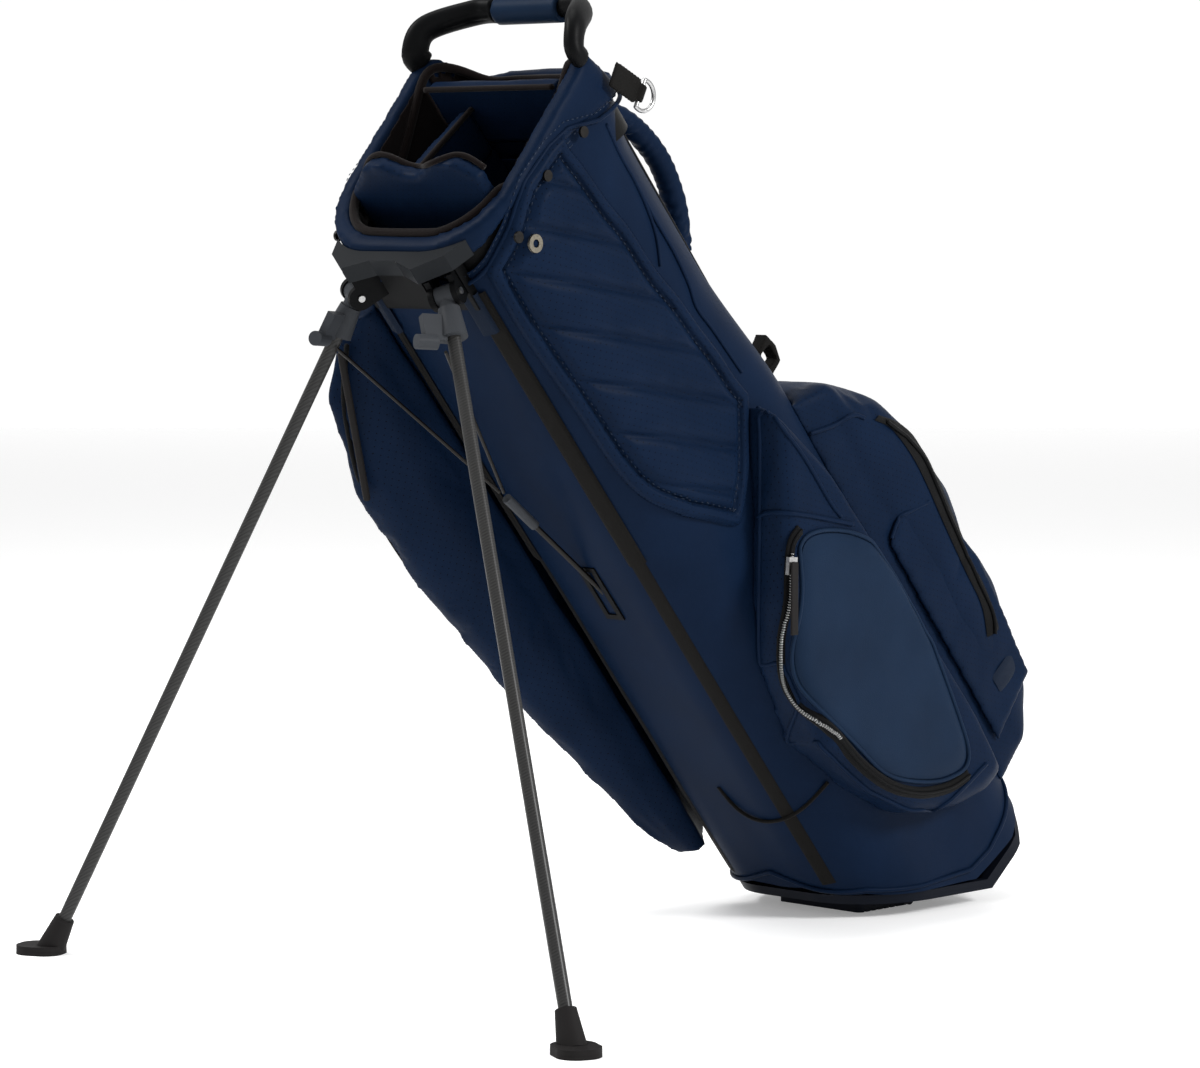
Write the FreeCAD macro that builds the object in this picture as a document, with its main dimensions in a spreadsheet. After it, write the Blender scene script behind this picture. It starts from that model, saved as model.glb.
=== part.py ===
import FreeCAD, Part
import math
import os

import Sketcher

# A golf stand bag that leans on two spread legs.  World frame: +Z up, the sole
# centre of the hinged base foot at the origin, the legs towards -X, left and right
# sides towards -Y and +Y.  The bag itself is drawn upright in its own frame and
# then leaned: there X is depth (front negative, spine positive), Y is width and
# Z runs along the bag from the base to the rim.

Vec = FreeCAD.Vector
doc = FreeCAD.newDocument("StandBag")
sheet = doc.addObject("Spreadsheet::Sheet", "Sizes")

SIZES = [
    # lean and stance
    ("lean", 39.5, "degrees between the bag's long axis and the vertical"),
    ("plateThick", 13.0, "thickness of the base foot"),
    ("plateGap", 1.0, "clearance between the base foot and the tray above it"),
    ("groundGap", "=plateThick + plateGap", "floor to the slanted face of the base tray"),
    # body outline
    ("bodyFront", -50.0, "front face of the body"),
    ("bodyDepth", 250.0, "front face to spine"),
    ("bodyWidth", 205.0, "flank to flank"),
    ("bodyCorner", 70.0, "radius of the four long corners"),
    ("shellWall", 3.0, "fabric and foam of the body wall"),
    ("looseGap", 0.4, "clearance between pieces that only lie together"),
    # base
    ("heelStart", "=bodyFront + bodyDepth * 0.56", "where the slanted face meets the rear flat"),
    ("heelLevel", "=(groundGap - heelStart * sin(lean)) / cos(lean)", "flat rear part of the base"),
    ("heelEnd", "=bodyFront + bodyDepth * 0.8", "where the rear flat turns up"),
    ("heelRise", 42.0, "rise of the turned-up back edge"),
    ("trayHeight", 12.0, "height of the tray's edge band"),
    ("trayFloor", 5.0, "thickness of the tray's floor"),
    ("trayRim", 9.0, "thickness of the tray's edge band"),
    # cuff
    ("seamFront", 852.0, "lower edge of the cuff at the front, which sets the bag's length"),
    ("seamSide", "=seamFront + 21", "lower edge of the cuff at the flank"),
    ("seamBack", "=seamFront - 14", "lower edge of the cuff at the spine"),
    ("rimFront", "=seamFront + 19", "padded rim at the front"),
    ("rimApex", "=seamFront + 60", "padded rim beside the handle arms"),
    ("apexDepth", "=bodyFront + bodyDepth * 0.784", "depth position of the rim's highest points"),
    ("rimBack", "=seamFront + 6", "rim behind the top handle"),
    ("cuffProud", 5.0, "how far the padded collar stands out of the body"),
    ("cuffThick", 17.0, "thickness of the padded collar"),
    ("liningThick", 2.2, "velour lining and its backing"),
    ("frameDrop", 36.0, "height of the moulded frame below the collar"),
    ("frameWall", 5.0, "wall of the moulded frame"),
    # dividers
    ("dividerThick", 15.0, "padded divider tops"),
    ("panelThick", 2.0, "full length fabric panels under the divider tops"),
    ("frontDivider", "=bodyFront + bodyDepth * 0.232", "depth position of the front divider"),
    ("backDivider", "=bodyFront + bodyDepth * 0.732", "depth position of the back divider"),
    ("longDivider", "=bodyWidth * 0.205", "sideways position of the long divider"),
    ("dividerTop", "=seamFront + 50", "level of the divider tops"),
    ("dividerDrop", 62.0, "height of the padded divider tops"),
    ("waveRise", 15.0, "height of the two humps on the front divider"),
    # stays
    ("stayRadius", 4.0, "radius of the stiffening rods"),
    ("stayInset", 34.0, "stay centre from the flank and the front or back face"),
    # handles
    ("gripRadius", 13.0, "radius of the sleeve on the top handle"),
    ("gripLength", "=bodyWidth * 0.507", "length of the sleeve on the top handle"),
    ("gripDepth", "=bodyFront + bodyDepth + 12", "depth position of the top handle"),
    ("gripLevel", "=rimApex + 10", "level of the top handle"),
    ("armRadius", 7.5, "radius of the handle's moulded core"),
    ("carryRadius", 12.0, "radius of the soft back handle"),
    # leg pivots and legs
    ("pivotLevel", "=seamFront - 21", "leg pivot along the axis"),
    ("pivotForward", 19.0, "leg pivot in front of the body"),
    ("pivotHalf", "=bodyWidth * 0.2746", "leg pivot from the middle plane"),
    ("pivotHeight", "=pivotLevel * cos(lean) + (bodyFront - pivotForward) * sin(lean)",
     "leg pivot over the floor"),
    ("legStride", 127.8, "leg sole ahead of its pivot"),
    ("legSpread", 331.5, "sole centre from the middle plane"),
    ("legLength", "=sqrt(pivotHeight ^ 2 + legStride ^ 2 + (legSpread - pivotHalf) ^ 2)",
     "pivot to the sole"),
    ("tubeRadius", 6.0, "outside radius of the leg tube"),
    ("tubeWall", 1.2, "wall of the leg tube"),
    ("tubeTop", 14.0, "leg tube's upper end below the pivot"),
    ("tubeBottom", 12.0, "leg tube's lower end above the sole"),
    ("collarLength", 40.0, "length of the leg collar below the pivot"),
    ("collarTopRadius", 9.5, "collar radius beside the pivot"),
    ("collarEndRadius", 12.5, "collar radius at its lower end"),
    ("knuckleWidth", 16.0, "width of the collar's knuckle on the pin"),
    ("pinRadius", 3.0, "radius of the leg pins"),
    ("pinFit", 0.05, "running clearance round every pin"),
    ("slideFit", 0.2, "clearance round what is glued or slides"),
    ("earThick", 5.0, "thickness of each bracket ear"),
    ("earRadius", 11.0, "radius of each bracket ear"),
    ("hookRadius", 6.5, "radius of the wire hook on the collar"),
    ("hookReach", 36.0, "end of the wire hook from the leg's axis"),
    ("footLength", 44.0, "leg foot sole, front to back"),
    ("footWidth", 38.0, "leg foot sole, side to side"),
    ("footShift", 7.0, "sole pad ahead of the leg's axis"),
    ("footSole", 8.0, "thickness of the leg foot's sole"),
    ("footNeck", 34.0, "length of the leg foot's sleeve"),
    # linkage
    ("wireRadius", 1.6, "radius of the spreader wires"),
    ("wireDrop", 50.0, "wire's upper end along the leg from the pivot"),
    ("wireAhead", 6.4, "wire's upper end ahead of the leg's axis"),
    ("wireInside", 6.9, "wire's upper end inside of the leg's axis"),
    ("joinLevel", "=pivotLevel - 220", "where the wires join, along the axis"),
    ("joinDepth", "=bodyFront - 37", "where the wires join, in depth"),
    ("slotLevel", "=joinLevel - 174", "where the rod reaches the slot's lower half"),
    ("slotDepth", "=bodyFront + 6", "rod's depth there"),
    ("rodRadius", 2.5, "radius of the visible rod"),
    ("sleeveRadius", 4.6, "radius of the junction sleeve"),
    ("sleeveLength", 44.0, "length of the junction sleeve"),
    ("rodLength", 190.0, "wire joint to the rod's hidden lower end"),
    ("pushRadius", 3.0, "radius of the push rod inside the bag"),
    ("pushTop", "=slotLevel - 26", "upper end of the push rod"),
    ("pushTopDepth", "=bodyFront + 13", "its depth there"),
    ("pushAhead", 28.0, "push rod's tip ahead of the base foot's sole centre"),
    ("guideWall", 1.6, "wall of the push rod's guide tube"),
    # base foot
    ("plateFront", -33.0, "front edge of the base foot"),
    ("hingeAt", 34.0, "base foot's hinge behind its sole centre"),
    ("plateWidth", "=bodyWidth * 0.507", "width of the base foot"),
    ("lugWidth", 6.0, "width of each hinge lug"),
    ("footPinRadius", 2.5, "radius of the base foot's pin"),
    # soft goods on the body
    ("padThick", 8.0, "quilted hip panels"),
    ("railThick", 1.6, "webbing rails"),
    ("railWidth", 14.0, "width of the webbing rails"),
    ("sideProud", 42.0, "side pocket out from the flank"),
    ("apparelProud", 62.0, "apparel pocket out from the flank"),
    ("ballProud", 118.0, "ball pocket out from the spine"),
    ("ballWidth", "=bodyWidth * 0.868", "width of the ball pocket"),
    ("zipThick", 1.8, "thickness of the zip tapes"),
]
for row, (alias, number, note) in enumerate(SIZES, start=1):
    sheet.set(f"A{row}", alias)
    sheet.set(f"B{row}", str(number))
    sheet.set(f"C{row}", note)
    sheet.setAlias(f"B{row}", alias)
doc.recompute()


class Size:
    """A number that keeps the sheet expression it came from."""

    def __init__(self, value, text):
        self.value = value
        self.text = text

    def join(self, other, sign, value):
        return Size(value, f"({self.text} {sign} {other.text})")

    def __add__(self, other):
        other = as_size(other)
        return self.join(other, "+", self.value + other.value)

    def __sub__(self, other):
        other = as_size(other)
        return self.join(other, "-", self.value - other.value)

    def __mul__(self, other):
        other = as_size(other)
        return self.join(other, "*", self.value * other.value)

    def __truediv__(self, other):
        other = as_size(other)
        return self.join(other, "/", self.value / other.value)

    def __radd__(self, other):
        return as_size(other) + self

    def __rsub__(self, other):
        return as_size(other) - self

    def __rmul__(self, other):
        return as_size(other) * self

    def __neg__(self):
        return Size(-self.value, f"(-1 * {self.text})")


def as_size(number):
    return number if isinstance(number, Size) else Size(float(number), f"({float(number)})")


def cell(alias):
    return Size(float(sheet.get(alias)), f"Sizes.{alias}")


S = {alias: cell(alias) for alias, _number, _note in SIZES}
N = {alias: size.value for alias, size in S.items()}

LEAN = FreeCAD.Placement(Vec(0, 0, 0), FreeCAD.Rotation(Vec(0, 1, 0), -N["lean"]))
UPRIGHT = FreeCAD.Placement()
pieces = []  # objects whose shapes are written out


def keep(piece, label, placement=LEAN):
    """Name a finished piece, put it in place and list it for writing."""
    piece.Label = label
    piece.Placement = placement
    pieces.append(piece)
    return piece


def bind(thing, **sizes):
    for name, size in sizes.items():
        thing.setExpression(name, as_size(size).text)


def fresh(kind, name):
    return doc.addObject(kind, name)


# ---------------------------------------------------------------- sketches


def new_sketch(body, role, offset=0):
    plane = [item for item in body.Origin.OriginFeatures if item.Role == role][0]
    sketch = body.newObject("Sketcher::SketchObject", body.Name + "_sketch")
    sketch.AttachmentSupport = [(plane, "")]
    sketch.MapMode = "FlatFace"
    sketch.setExpression(".AttachmentOffset.Base.z", as_size(offset).text)
    return sketch


def pin_point(sketch, geometry, end, x, y):
    """Hold one end of a sketch line at (x, y) from the origin."""
    for kind, size in (("DistanceX", as_size(x)), ("DistanceY", as_size(y))):
        number = sketch.addConstraint(Sketcher.Constraint(kind, -1, 1, geometry, end, size.value))
        sketch.setExpression(f"Constraints[{number}]", size.text)


def polygon(sketch, points):
    """A closed outline of straight lines through points given as sizes."""
    count = len(points)
    spots = [Vec(as_size(x).value, as_size(y).value, 0) for x, y in points]
    for index in range(count):
        sketch.addGeometry(Part.LineSegment(spots[index], spots[(index + 1) % count]), False)
    for index in range(count):
        sketch.addConstraint(Sketcher.Constraint("Coincident", index, 2, (index + 1) % count, 1))
    for index, (x, y) in enumerate(points):
        pin_point(sketch, index, 1, x, y)


def rounded_rectangle(sketch, low_x, high_x, half_y, corner):
    """A rectangle about the X axis whose four corners are tangent arcs."""
    low_x, high_x, half_y, corner = [as_size(size) for size in (low_x, high_x, half_y, corner)]
    left, right, top, radius = low_x.value, high_x.value, half_y.value, corner.value
    lines = [
        ((left + radius, -top), (right - radius, -top)),
        ((right, -top + radius), (right, top - radius)),
        ((right - radius, top), (left + radius, top)),
        ((left, top - radius), (left, -top + radius)),
    ]
    centres = [
        (right - radius, -top + radius, 270),
        (right - radius, top - radius, 0),
        (left + radius, top - radius, 90),
        (left + radius, -top + radius, 180),
    ]
    for start, end in lines:
        sketch.addGeometry(Part.LineSegment(Vec(*start, 0), Vec(*end, 0)), False)
    for x, y, turn in centres:
        circle = Part.Circle(Vec(x, y, 0), Vec(0, 0, 1), radius)
        arc = Part.ArcOfCircle(circle, math.radians(turn), math.radians(turn + 90))
        sketch.addGeometry(arc, False)
    for index in range(4):
        sketch.addConstraint(Sketcher.Constraint("Tangent", index, 2, 4 + index, 1))
        sketch.addConstraint(Sketcher.Constraint("Tangent", 4 + index, 2, (index + 1) % 4, 1))
    for index in (0, 2):
        sketch.addConstraint(Sketcher.Constraint("Horizontal", index))
    for index in (1, 3):
        sketch.addConstraint(Sketcher.Constraint("Vertical", index))
    for index in (5, 6, 7):
        sketch.addConstraint(Sketcher.Constraint("Equal", 4, index))
    held = [
        ("Radius", (4,), corner),
        ("DistanceX", (-1, 1, 3, 1), low_x),
        ("DistanceX", (-1, 1, 1, 1), high_x),
        ("DistanceY", (-1, 1, 0, 1), -half_y),
        ("DistanceY", (-1, 1, 2, 1), half_y),
    ]
    for kind, ends, size in held:
        number = sketch.addConstraint(Sketcher.Constraint(kind, *ends, size.value))
        sketch.setExpression(f"Constraints[{number}]", size.text)


# ---------------------------------------------------------------- solids


def plan_block(name, low_x, high_x, half_y, corner, low_z, high_z):
    """A rounded rectangle in plan, from one level to another."""
    body = fresh("PartDesign::Body", name)
    sketch = new_sketch(body, "XY_Plane", low_z)
    rounded_rectangle(sketch, low_x, high_x, half_y, corner)
    pad = body.newObject("PartDesign::Pad", name + "_pad")
    pad.Profile = sketch
    bind(pad, Length=as_size(high_z) - low_z)
    sketch.Visibility = False
    return body


def plan_prism(name, points, low_z, high_z):
    """A straight sided outline in plan, from one level to another."""
    body = fresh("PartDesign::Body", name)
    sketch = new_sketch(body, "XY_Plane", low_z)
    polygon(sketch, points)
    pad = body.newObject("PartDesign::Pad", name + "_pad")
    pad.Profile = sketch
    bind(pad, Length=as_size(high_z) - low_z)
    return body


def side_prism(name, points, low_y, high_y):
    """A side outline of (depth, level) points, from one width to another."""
    body = fresh("PartDesign::Body", name)
    sketch = new_sketch(body, "XZ_Plane", -as_size(high_y))
    polygon(sketch, points)
    pad = body.newObject("PartDesign::Pad", name + "_pad")
    pad.Profile = sketch
    bind(pad, Length=as_size(high_y) - low_y)
    return body


def column(name, grow, low_z, high_z):
    """The body's outline grown by an amount, as a solid column."""
    grow = as_size(grow)
    return plan_block(
        name,
        S["bodyFront"] - grow,
        S["bodyFront"] + S["bodyDepth"] + grow,
        S["bodyWidth"] / 2 + grow,
        S["bodyCorner"] + grow,
        low_z,
        high_z,
    )


def cut(name, base, tool):
    result = fresh("Part::Cut", name)
    result.Base, result.Tool = base, tool
    return result


def common(name, base, tool):
    result = fresh("Part::Common", name)
    result.Base, result.Tool = base, tool
    return result


def fuse(name, shapes):
    result = fresh("Part::MultiFuse", name)
    result.Shapes = shapes
    return result


def turned(axis, point):
    """A placement that carries +Z onto axis at point."""
    return FreeCAD.Placement(point, FreeCAD.Rotation(Vec(0, 0, 1), axis))


def cylinder(name, radius, height, placement=UPRIGHT):
    rod = fresh("Part::Cylinder", name)
    bind(rod, Radius=radius, Height=height)
    rod.Placement = placement
    return rod


def cone(name, low_radius, high_radius, height, placement=UPRIGHT):
    taper = fresh("Part::Cone", name)
    bind(taper, Radius1=low_radius, Radius2=high_radius, Height=height)
    taper.Placement = placement
    return taper


def box(name, low, lengths, placement=UPRIGHT):
    """A box from its low corner, both given as sizes in the box's own frame."""
    block = fresh("Part::Box", name)
    bind(block, Length=lengths[0], Width=lengths[1], Height=lengths[2])
    corner = Vec(*[as_size(number).value for number in low])
    block.Placement = placement.multiply(FreeCAD.Placement(corner, FreeCAD.Rotation()))
    return block


def ring_band(name, outer, inner, outline, low_z, high_z):
    """A band of the body's outline, trimmed by a side outline."""
    outside = column(name + "_outside", outer, low_z, high_z)
    inside = column(name + "_inside", inner, low_z, high_z)
    band = cut(name + "_band", outside, inside)
    reach = S["bodyWidth"] / 2 + 60
    trim = side_prism(name + "_trim", outline, -reach, reach)
    return common(name, band, trim)


def wrapped_pad(name, outline, side, gap, thick):
    """A pad of even thickness that follows the body inside a side outline."""
    low_z, high_z = S["heelLevel"] - 10, S["rimApex"] + 20
    outside = column(name + "_outside", as_size(gap) + thick, low_z, high_z)
    inside = column(name + "_inside", gap, low_z, high_z)
    skin = cut(name + "_skin", outside, inside)
    near, far = S["stayInset"] * 0.2, S["bodyWidth"] / 2 + 60
    if side < 0:
        near, far = -far, -near
    trim = side_prism(name + "_trim", outline, near, far)
    return common(name, skin, trim)


def rounded_wire(points, share=0.45):
    """Straight runs joined by tangent arcs as large as the runs allow."""
    edges = []
    start = points[0]
    radii = []
    for before, corner, after in zip(points, points[1:], points[2:]):
        back, ahead = before - corner, after - corner
        turn = math.pi - back.getAngle(ahead)
        reach = share * min(back.Length, ahead.Length)
        radii.append(reach / math.tan(turn / 2))
        first = corner + back.normalize() * reach
        last = corner + ahead.normalize() * reach
        middle = (first + last) / 2
        inward = (middle - corner).normalize()
        radius = radii[-1]
        centre = corner + inward * (radius / math.cos(turn / 2))
        crest = centre - inward * radius
        edges.append(Part.LineSegment(start, first).toShape())
        edges.append(Part.Arc(first, crest, last).toShape())
        start = last
    edges.append(Part.LineSegment(start, points[-1]).toShape())
    return Part.Wire(edges), radii


def swept_tube(points, radius):
    path, radii = rounded_wire(points)
    edge = path.Edges[0]
    start = edge.valueAt(edge.FirstParameter)
    heading = edge.tangentAt(edge.FirstParameter)
    section = Part.Wire([Part.Circle(start, heading, radius).toShape()])
    return path.makePipeShell([section], True, False), path, radii


def plain_feature(name, shape):
    feature = fresh("Part::Feature", name)
    feature.Shape = shape
    return feature


# ---------------------------------------------------------------- shared outlines

SIDES = (("near", -1), ("far", 1))
HALF_WIDTH = S["bodyWidth"] / 2
BODY_BACK = S["bodyFront"] + S["bodyDepth"]
LEAN_SIN = math.sin(math.radians(N["lean"]))
LEAN_COS = math.cos(math.radians(N["lean"]))


def lean_sin():
    return Size(LEAN_SIN, "sin(Sizes.lean)")


def lean_cos():
    return Size(LEAN_COS, "cos(Sizes.lean)")


def level_above_floor(depth, height):
    """The level in the bag's frame of a point of given depth, height over the floor."""
    return (as_size(height) - as_size(depth) * lean_sin()) / lean_cos()


BASE_REACH = 30.0  # how far trimming outlines run past the body


def base_line(rise):
    """The underside of the base, front to back, raised by an amount."""
    front = S["bodyFront"] - BASE_REACH
    back = BODY_BACK + BASE_REACH
    slope = S["heelRise"] / (BODY_BACK - S["heelEnd"])
    return [
        (front, level_above_floor(front, S["groundGap"]) + rise),
        (S["heelStart"], S["heelLevel"] + rise),
        (S["heelEnd"], S["heelLevel"] + rise),
        (back, S["heelLevel"] + rise + slope * (back - S["heelEnd"])),
    ]


def seam_line(drop):
    """The lower edge of the cuff, back to front, lowered by an amount."""
    return [
        (BODY_BACK + BASE_REACH, S["seamBack"] - drop),
        (S["apexDepth"] - 8, S["seamSide"] - 8 - drop),
        (S["frontDivider"] + 40, S["seamSide"] + 3 - drop),
        (S["frontDivider"] - 10, S["seamSide"] - 6 - drop),
        (S["bodyFront"] + 16, S["seamFront"] - drop),
        (S["bodyFront"] - BASE_REACH, S["seamFront"] - drop),
    ]


def rim_line(drop):
    """The upper edge of the cuff, front to back, lowered by an amount."""
    slope = (S["rimApex"] - S["rimFront"]) / (S["apexDepth"] - S["bodyFront"])
    start = S["bodyFront"] - BASE_REACH
    return [
        (start, S["rimFront"] + slope * (start - S["bodyFront"]) - drop),
        (S["apexDepth"], S["rimApex"] - drop),
        (S["apexDepth"] + 15, S["rimApex"] - 2 - drop),
        (S["apexDepth"] + 32, S["rimBack"] + 12 - drop),
        (BODY_BACK + BASE_REACH, S["rimBack"] - drop),
    ]


LOW, HIGH = S["heelLevel"] - 30, S["rimApex"] + 60

# pocket and panel outlines are drawn on a body of these sizes, then fitted to the real one
DRAWN_FRONT, DRAWN_DEPTH, DRAWN_SEAM, DRAWN_HALF = -50.0, 250.0, 852.0, 102.5


def fit_depth(depth):
    return S["bodyFront"] + S["bodyDepth"] * ((depth - DRAWN_FRONT) / DRAWN_DEPTH)


def fit_level(level):
    return S["seamFront"] * (level / DRAWN_SEAM)


def fitted(outline):
    """A drawn outline of (depth, level) points on this body."""
    return [(fit_depth(depth), fit_level(level)) for depth, level in outline]


def proud_point(depth, width, level):
    """A drawn point that keeps its distance in front of the body and out from the flank."""
    half = N["bodyWidth"] / 2 - DRAWN_HALF
    return Vec(N["bodyFront"] - DRAWN_FRONT + depth, width + half, fit_level(level).value)


# ---------------------------------------------------------------- base


def make_base_tray():
    """Moulded tray under the bag with the two lugs of the base foot's hinge."""
    reach = HALF_WIDTH + BASE_REACH
    outline = base_line(0) + list(reversed(base_line(S["trayHeight"])))
    hollow = base_line(S["trayFloor"]) + list(reversed(base_line(S["trayHeight"] + 40)))
    block = common(
        "tray_block",
        column("tray_column", 0, LOW, HIGH),
        side_prism("tray_profile", outline, -reach, reach),
    )
    room = common(
        "tray_room",
        column("tray_inner_column", -S["trayRim"], LOW, HIGH),
        side_prism("tray_hollow", hollow, -reach, reach),
    )
    tray = cut("tray_shell", block, room)
    lean_back = LEAN.inverse()
    lugs = []
    pin = S["footPinRadius"] + S["pinFit"]
    lug_gap = S["looseGap"]
    for word, side in SIDES:
        inner_y = S["plateWidth"] / 2 + lug_gap
        low_y = inner_y if side > 0 else -(inner_y + S["lugWidth"])
        low = (S["hingeAt"] - 9, low_y, S["plateThick"] / 2)
        lengths = (18, S["lugWidth"], S["groundGap"] - S["plateThick"] / 2 + 3)
        lugs.append(box(f"lug_post_{word}", low, lengths, lean_back))
        spot = Vec(N["hingeAt"], low_y.value, N["plateThick"] / 2)
        place = lean_back.multiply(turned(Vec(0, 1, 0), spot))
        lugs.append(cylinder(f"lug_eye_{word}", S["plateThick"] / 2 - 1, S["lugWidth"], place))
    across = S["plateWidth"] + 2 * S["lugWidth"] + 20
    spot = Vec(N["hingeAt"], -across.value / 2, N["plateThick"] / 2)
    bore = cylinder("lug_bore", pin, across, lean_back.multiply(turned(Vec(0, 1, 0), spot)))
    window = push_rod_window("tray_window", S["pushRadius"] + 4)
    solid = cut("tray_bored", fuse("tray_with_lugs", [tray] + lugs), bore)
    keep(cut("tray_open", solid, window), "base_tray")


def push_line():
    """The push rod's tip and upper end in the bag's frame."""
    tip_height = N["plateThick"] + N["pushRadius"] + 1.0
    tip = LEAN.inverse().multVec(Vec(-N["pushAhead"], 0, tip_height))
    top = Vec(N["pushTopDepth"], 0, N["pushTop"])
    return tip, top


def push_rod_window(name, radius):
    tip, top = push_line()
    along = (top - tip).normalize()
    return cylinder(name, radius, 90, turned(along, tip - along * 45))


def make_base_foot():
    """Hinged plate under the front of the base, grooved on its sole."""
    thick = S["plateThick"]
    plate = plan_block(
        "foot_plate", S["plateFront"], S["hingeAt"] + thick / 2, S["plateWidth"] / 2,
        thick / 2 - 0.5, 0, thick
    )
    nose = side_prism(
        "foot_profile",
        [
            (S["plateFront"] - 5, -1),
            (S["hingeAt"] + 2, -1),
            (S["hingeAt"] + thick / 2 - 0.6, thick / 2 - 3.4),
            (S["hingeAt"] + thick / 2 - 0.6, thick / 2 + 3.4),
            (S["hingeAt"] + 2.6, thick),
            (S["plateFront"] + 10, thick),
            (S["plateFront"] - 1, thick / 2 + 2),
        ],
        -S["plateWidth"],
        S["plateWidth"],
    )
    shaped = common("foot_shaped", plate, nose)
    tools = []
    groove_pitch = 9.0
    for index in range(6):
        low = (S["plateFront"] + 7 + groove_pitch * index, -S["plateWidth"] / 2 - 1, -1)
        tools.append(box(f"foot_groove_{index}", low, (3, S["plateWidth"] + 2, 3)))
    spot = Vec(N["hingeAt"], -N["plateWidth"], N["plateThick"] / 2)
    bore_radius = S["footPinRadius"] + S["pinFit"]
    tools.append(cylinder("foot_bore", bore_radius, 2 * S["plateWidth"], turned(Vec(0, 1, 0), spot)))
    keep(cut("foot_cut", shaped, fuse("foot_tools", tools)), "base_foot", UPRIGHT)
    length = S["plateWidth"] + 2 * (S["lugWidth"] + S["looseGap"])
    spot = Vec(N["hingeAt"], -length.value / 2, N["plateThick"] / 2)
    pin = cylinder("foot_pin", S["footPinRadius"], length)
    keep(pin, "base_foot_pin", turned(Vec(0, 1, 0), spot))


# ---------------------------------------------------------------- body


def make_body_shell():
    """The oval fabric wall, open at the top and slotted for the rod at the front."""
    outline = base_line(S["trayHeight"] + S["looseGap"]) + seam_line(S["looseGap"])
    wall = ring_band("shell_ring", 0, -S["shellWall"], outline, LOW, HIGH)
    low = (S["bodyFront"] - 5, -6, S["slotLevel"] - 2)
    slot = box("shell_slot", low, (20, 12, 55))
    keep(cut("shell", wall, slot), "body_shell")


def make_stays():
    """Four stiffening rods in the corners of the shell, from the tray to the frame."""
    inset = S["stayInset"]
    across = HALF_WIDTH - inset
    top = S["seamFront"] - S["frameDrop"] - 8
    front_start = level_above_floor(N["bodyFront"], N["groundGap"]).value + 62
    back_start = N["heelLevel"] + N["heelRise"] + 14
    rows = (("front", S["bodyFront"] + inset - 8, front_start), ("back", BODY_BACK - inset + 8, back_start))
    for word, depth, start in rows:
        rods = []
        for side_word, side in SIDES:
            spot = Vec(as_size(depth).value, side * across.value, start)
            place = turned(Vec(0, 0, 1), spot)
            rods.append(cylinder(f"stay_{word}_{side_word}", S["stayRadius"], top - start, place))
        pair = fresh("Part::Compound", f"stays_{word}")
        pair.Links = rods
        keep(pair, f"{word}_stays")


# ---------------------------------------------------------------- cuff and dividers


def make_cuff():
    """Padded collar, its velour lining and the moulded frame below."""
    outline = rim_line(0) + seam_line(0)
    inner = S["cuffProud"] - S["cuffThick"]
    keep(ring_band("collar", S["cuffProud"], inner, outline, LOW, HIGH), "cuff_cover")
    lining = inner - S["looseGap"]
    outline = rim_line(3) + seam_line(18)
    ring = ring_band("lining", lining, lining - S["liningThick"], outline, LOW, HIGH)
    keep(ring, "cuff_lining")
    outline = seam_line(S["looseGap"]) + list(reversed(seam_line(S["frameDrop"])))
    frame = -(S["shellWall"] + S["looseGap"])
    keep(ring_band("frame", frame, frame - S["frameWall"], outline, LOW, HIGH), "cuff_frame")


def inner_half(extra=0):
    """Half of the clear width inside the lining."""
    return HALF_WIDTH + S["cuffProud"] - S["cuffThick"] - S["liningThick"] - 2 * S["looseGap"] - extra


def make_dividers():
    """Padded divider tops and the full length panels that hang from them."""
    thick, panel = S["dividerThick"], S["panelThick"]
    bottom = S["dividerTop"] - S["dividerDrop"]
    front, back = S["frontDivider"], S["backDivider"]
    reach = inner_half(5)
    top = S["dividerTop"]
    wave = [
        (-reach, bottom),
        (reach, bottom),
        (reach, top - S["waveRise"]),
        (reach * 0.62, top + S["waveRise"] * 0.8),
        (reach * 0.36, top + S["waveRise"]),
        (reach * 0.1, top + S["waveRise"] * 0.25),
        (-reach * 0.1, top + S["waveRise"] * 0.1),
        (-reach * 0.45, top + S["waveRise"] * 1.1),
        (-reach * 0.75, top + S["waveRise"]),
        (-reach, top),
    ]
    keep(across_prism("front_divider_pad", wave, front - thick / 2, front + thick / 2), "front_divider")
    gap = S["looseGap"]
    half = inner_half(8)
    low = (back - thick / 2, -half, bottom)
    keep_box("back_divider_pad", low, (thick, 2 * half, top - bottom), "back_divider")
    low = (front + thick / 2 + gap, S["longDivider"] - thick / 2, bottom - 8)
    length = back - front - thick - 2 * gap
    keep_box("long_divider_pad", low, (length, thick, top - 22 - bottom + 8), "long_divider")
    # panels: under the tops, down to just over the tray
    inside = HALF_WIDTH - S["shellWall"] - S["frameWall"] - 4 * gap - 1
    floor_front = level_above_floor(front, S["groundGap"]) + 26
    floor_back = S["heelLevel"] + 26
    low = (front - panel / 2, -inside, floor_front)
    keep_box("front_panel", low, (panel, 2 * inside, bottom - gap - floor_front), "front_divider_panel")
    low = (back - panel / 2, -(inside - 8), floor_back)
    keep_box("back_panel", low, (panel, 2 * (inside - 8), bottom - gap - floor_back), "back_divider_panel")
    low = (front + panel / 2 + gap, S["longDivider"] - panel / 2, floor_front)
    length = back - front - panel - 2 * gap
    keep_box("long_panel", low, (length, panel, bottom - 8 - gap - floor_front), "long_divider_panel")


def across_prism(name, points, low_x, high_x):
    """A front outline of (width, level) points, from one depth to another."""
    body = fresh("PartDesign::Body", name)
    sketch = new_sketch(body, "YZ_Plane", low_x)
    polygon(sketch, points)
    pad = body.newObject("PartDesign::Pad", name + "_pad")
    pad.Profile = sketch
    bind(pad, Length=as_size(high_x) - low_x)
    return body


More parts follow.
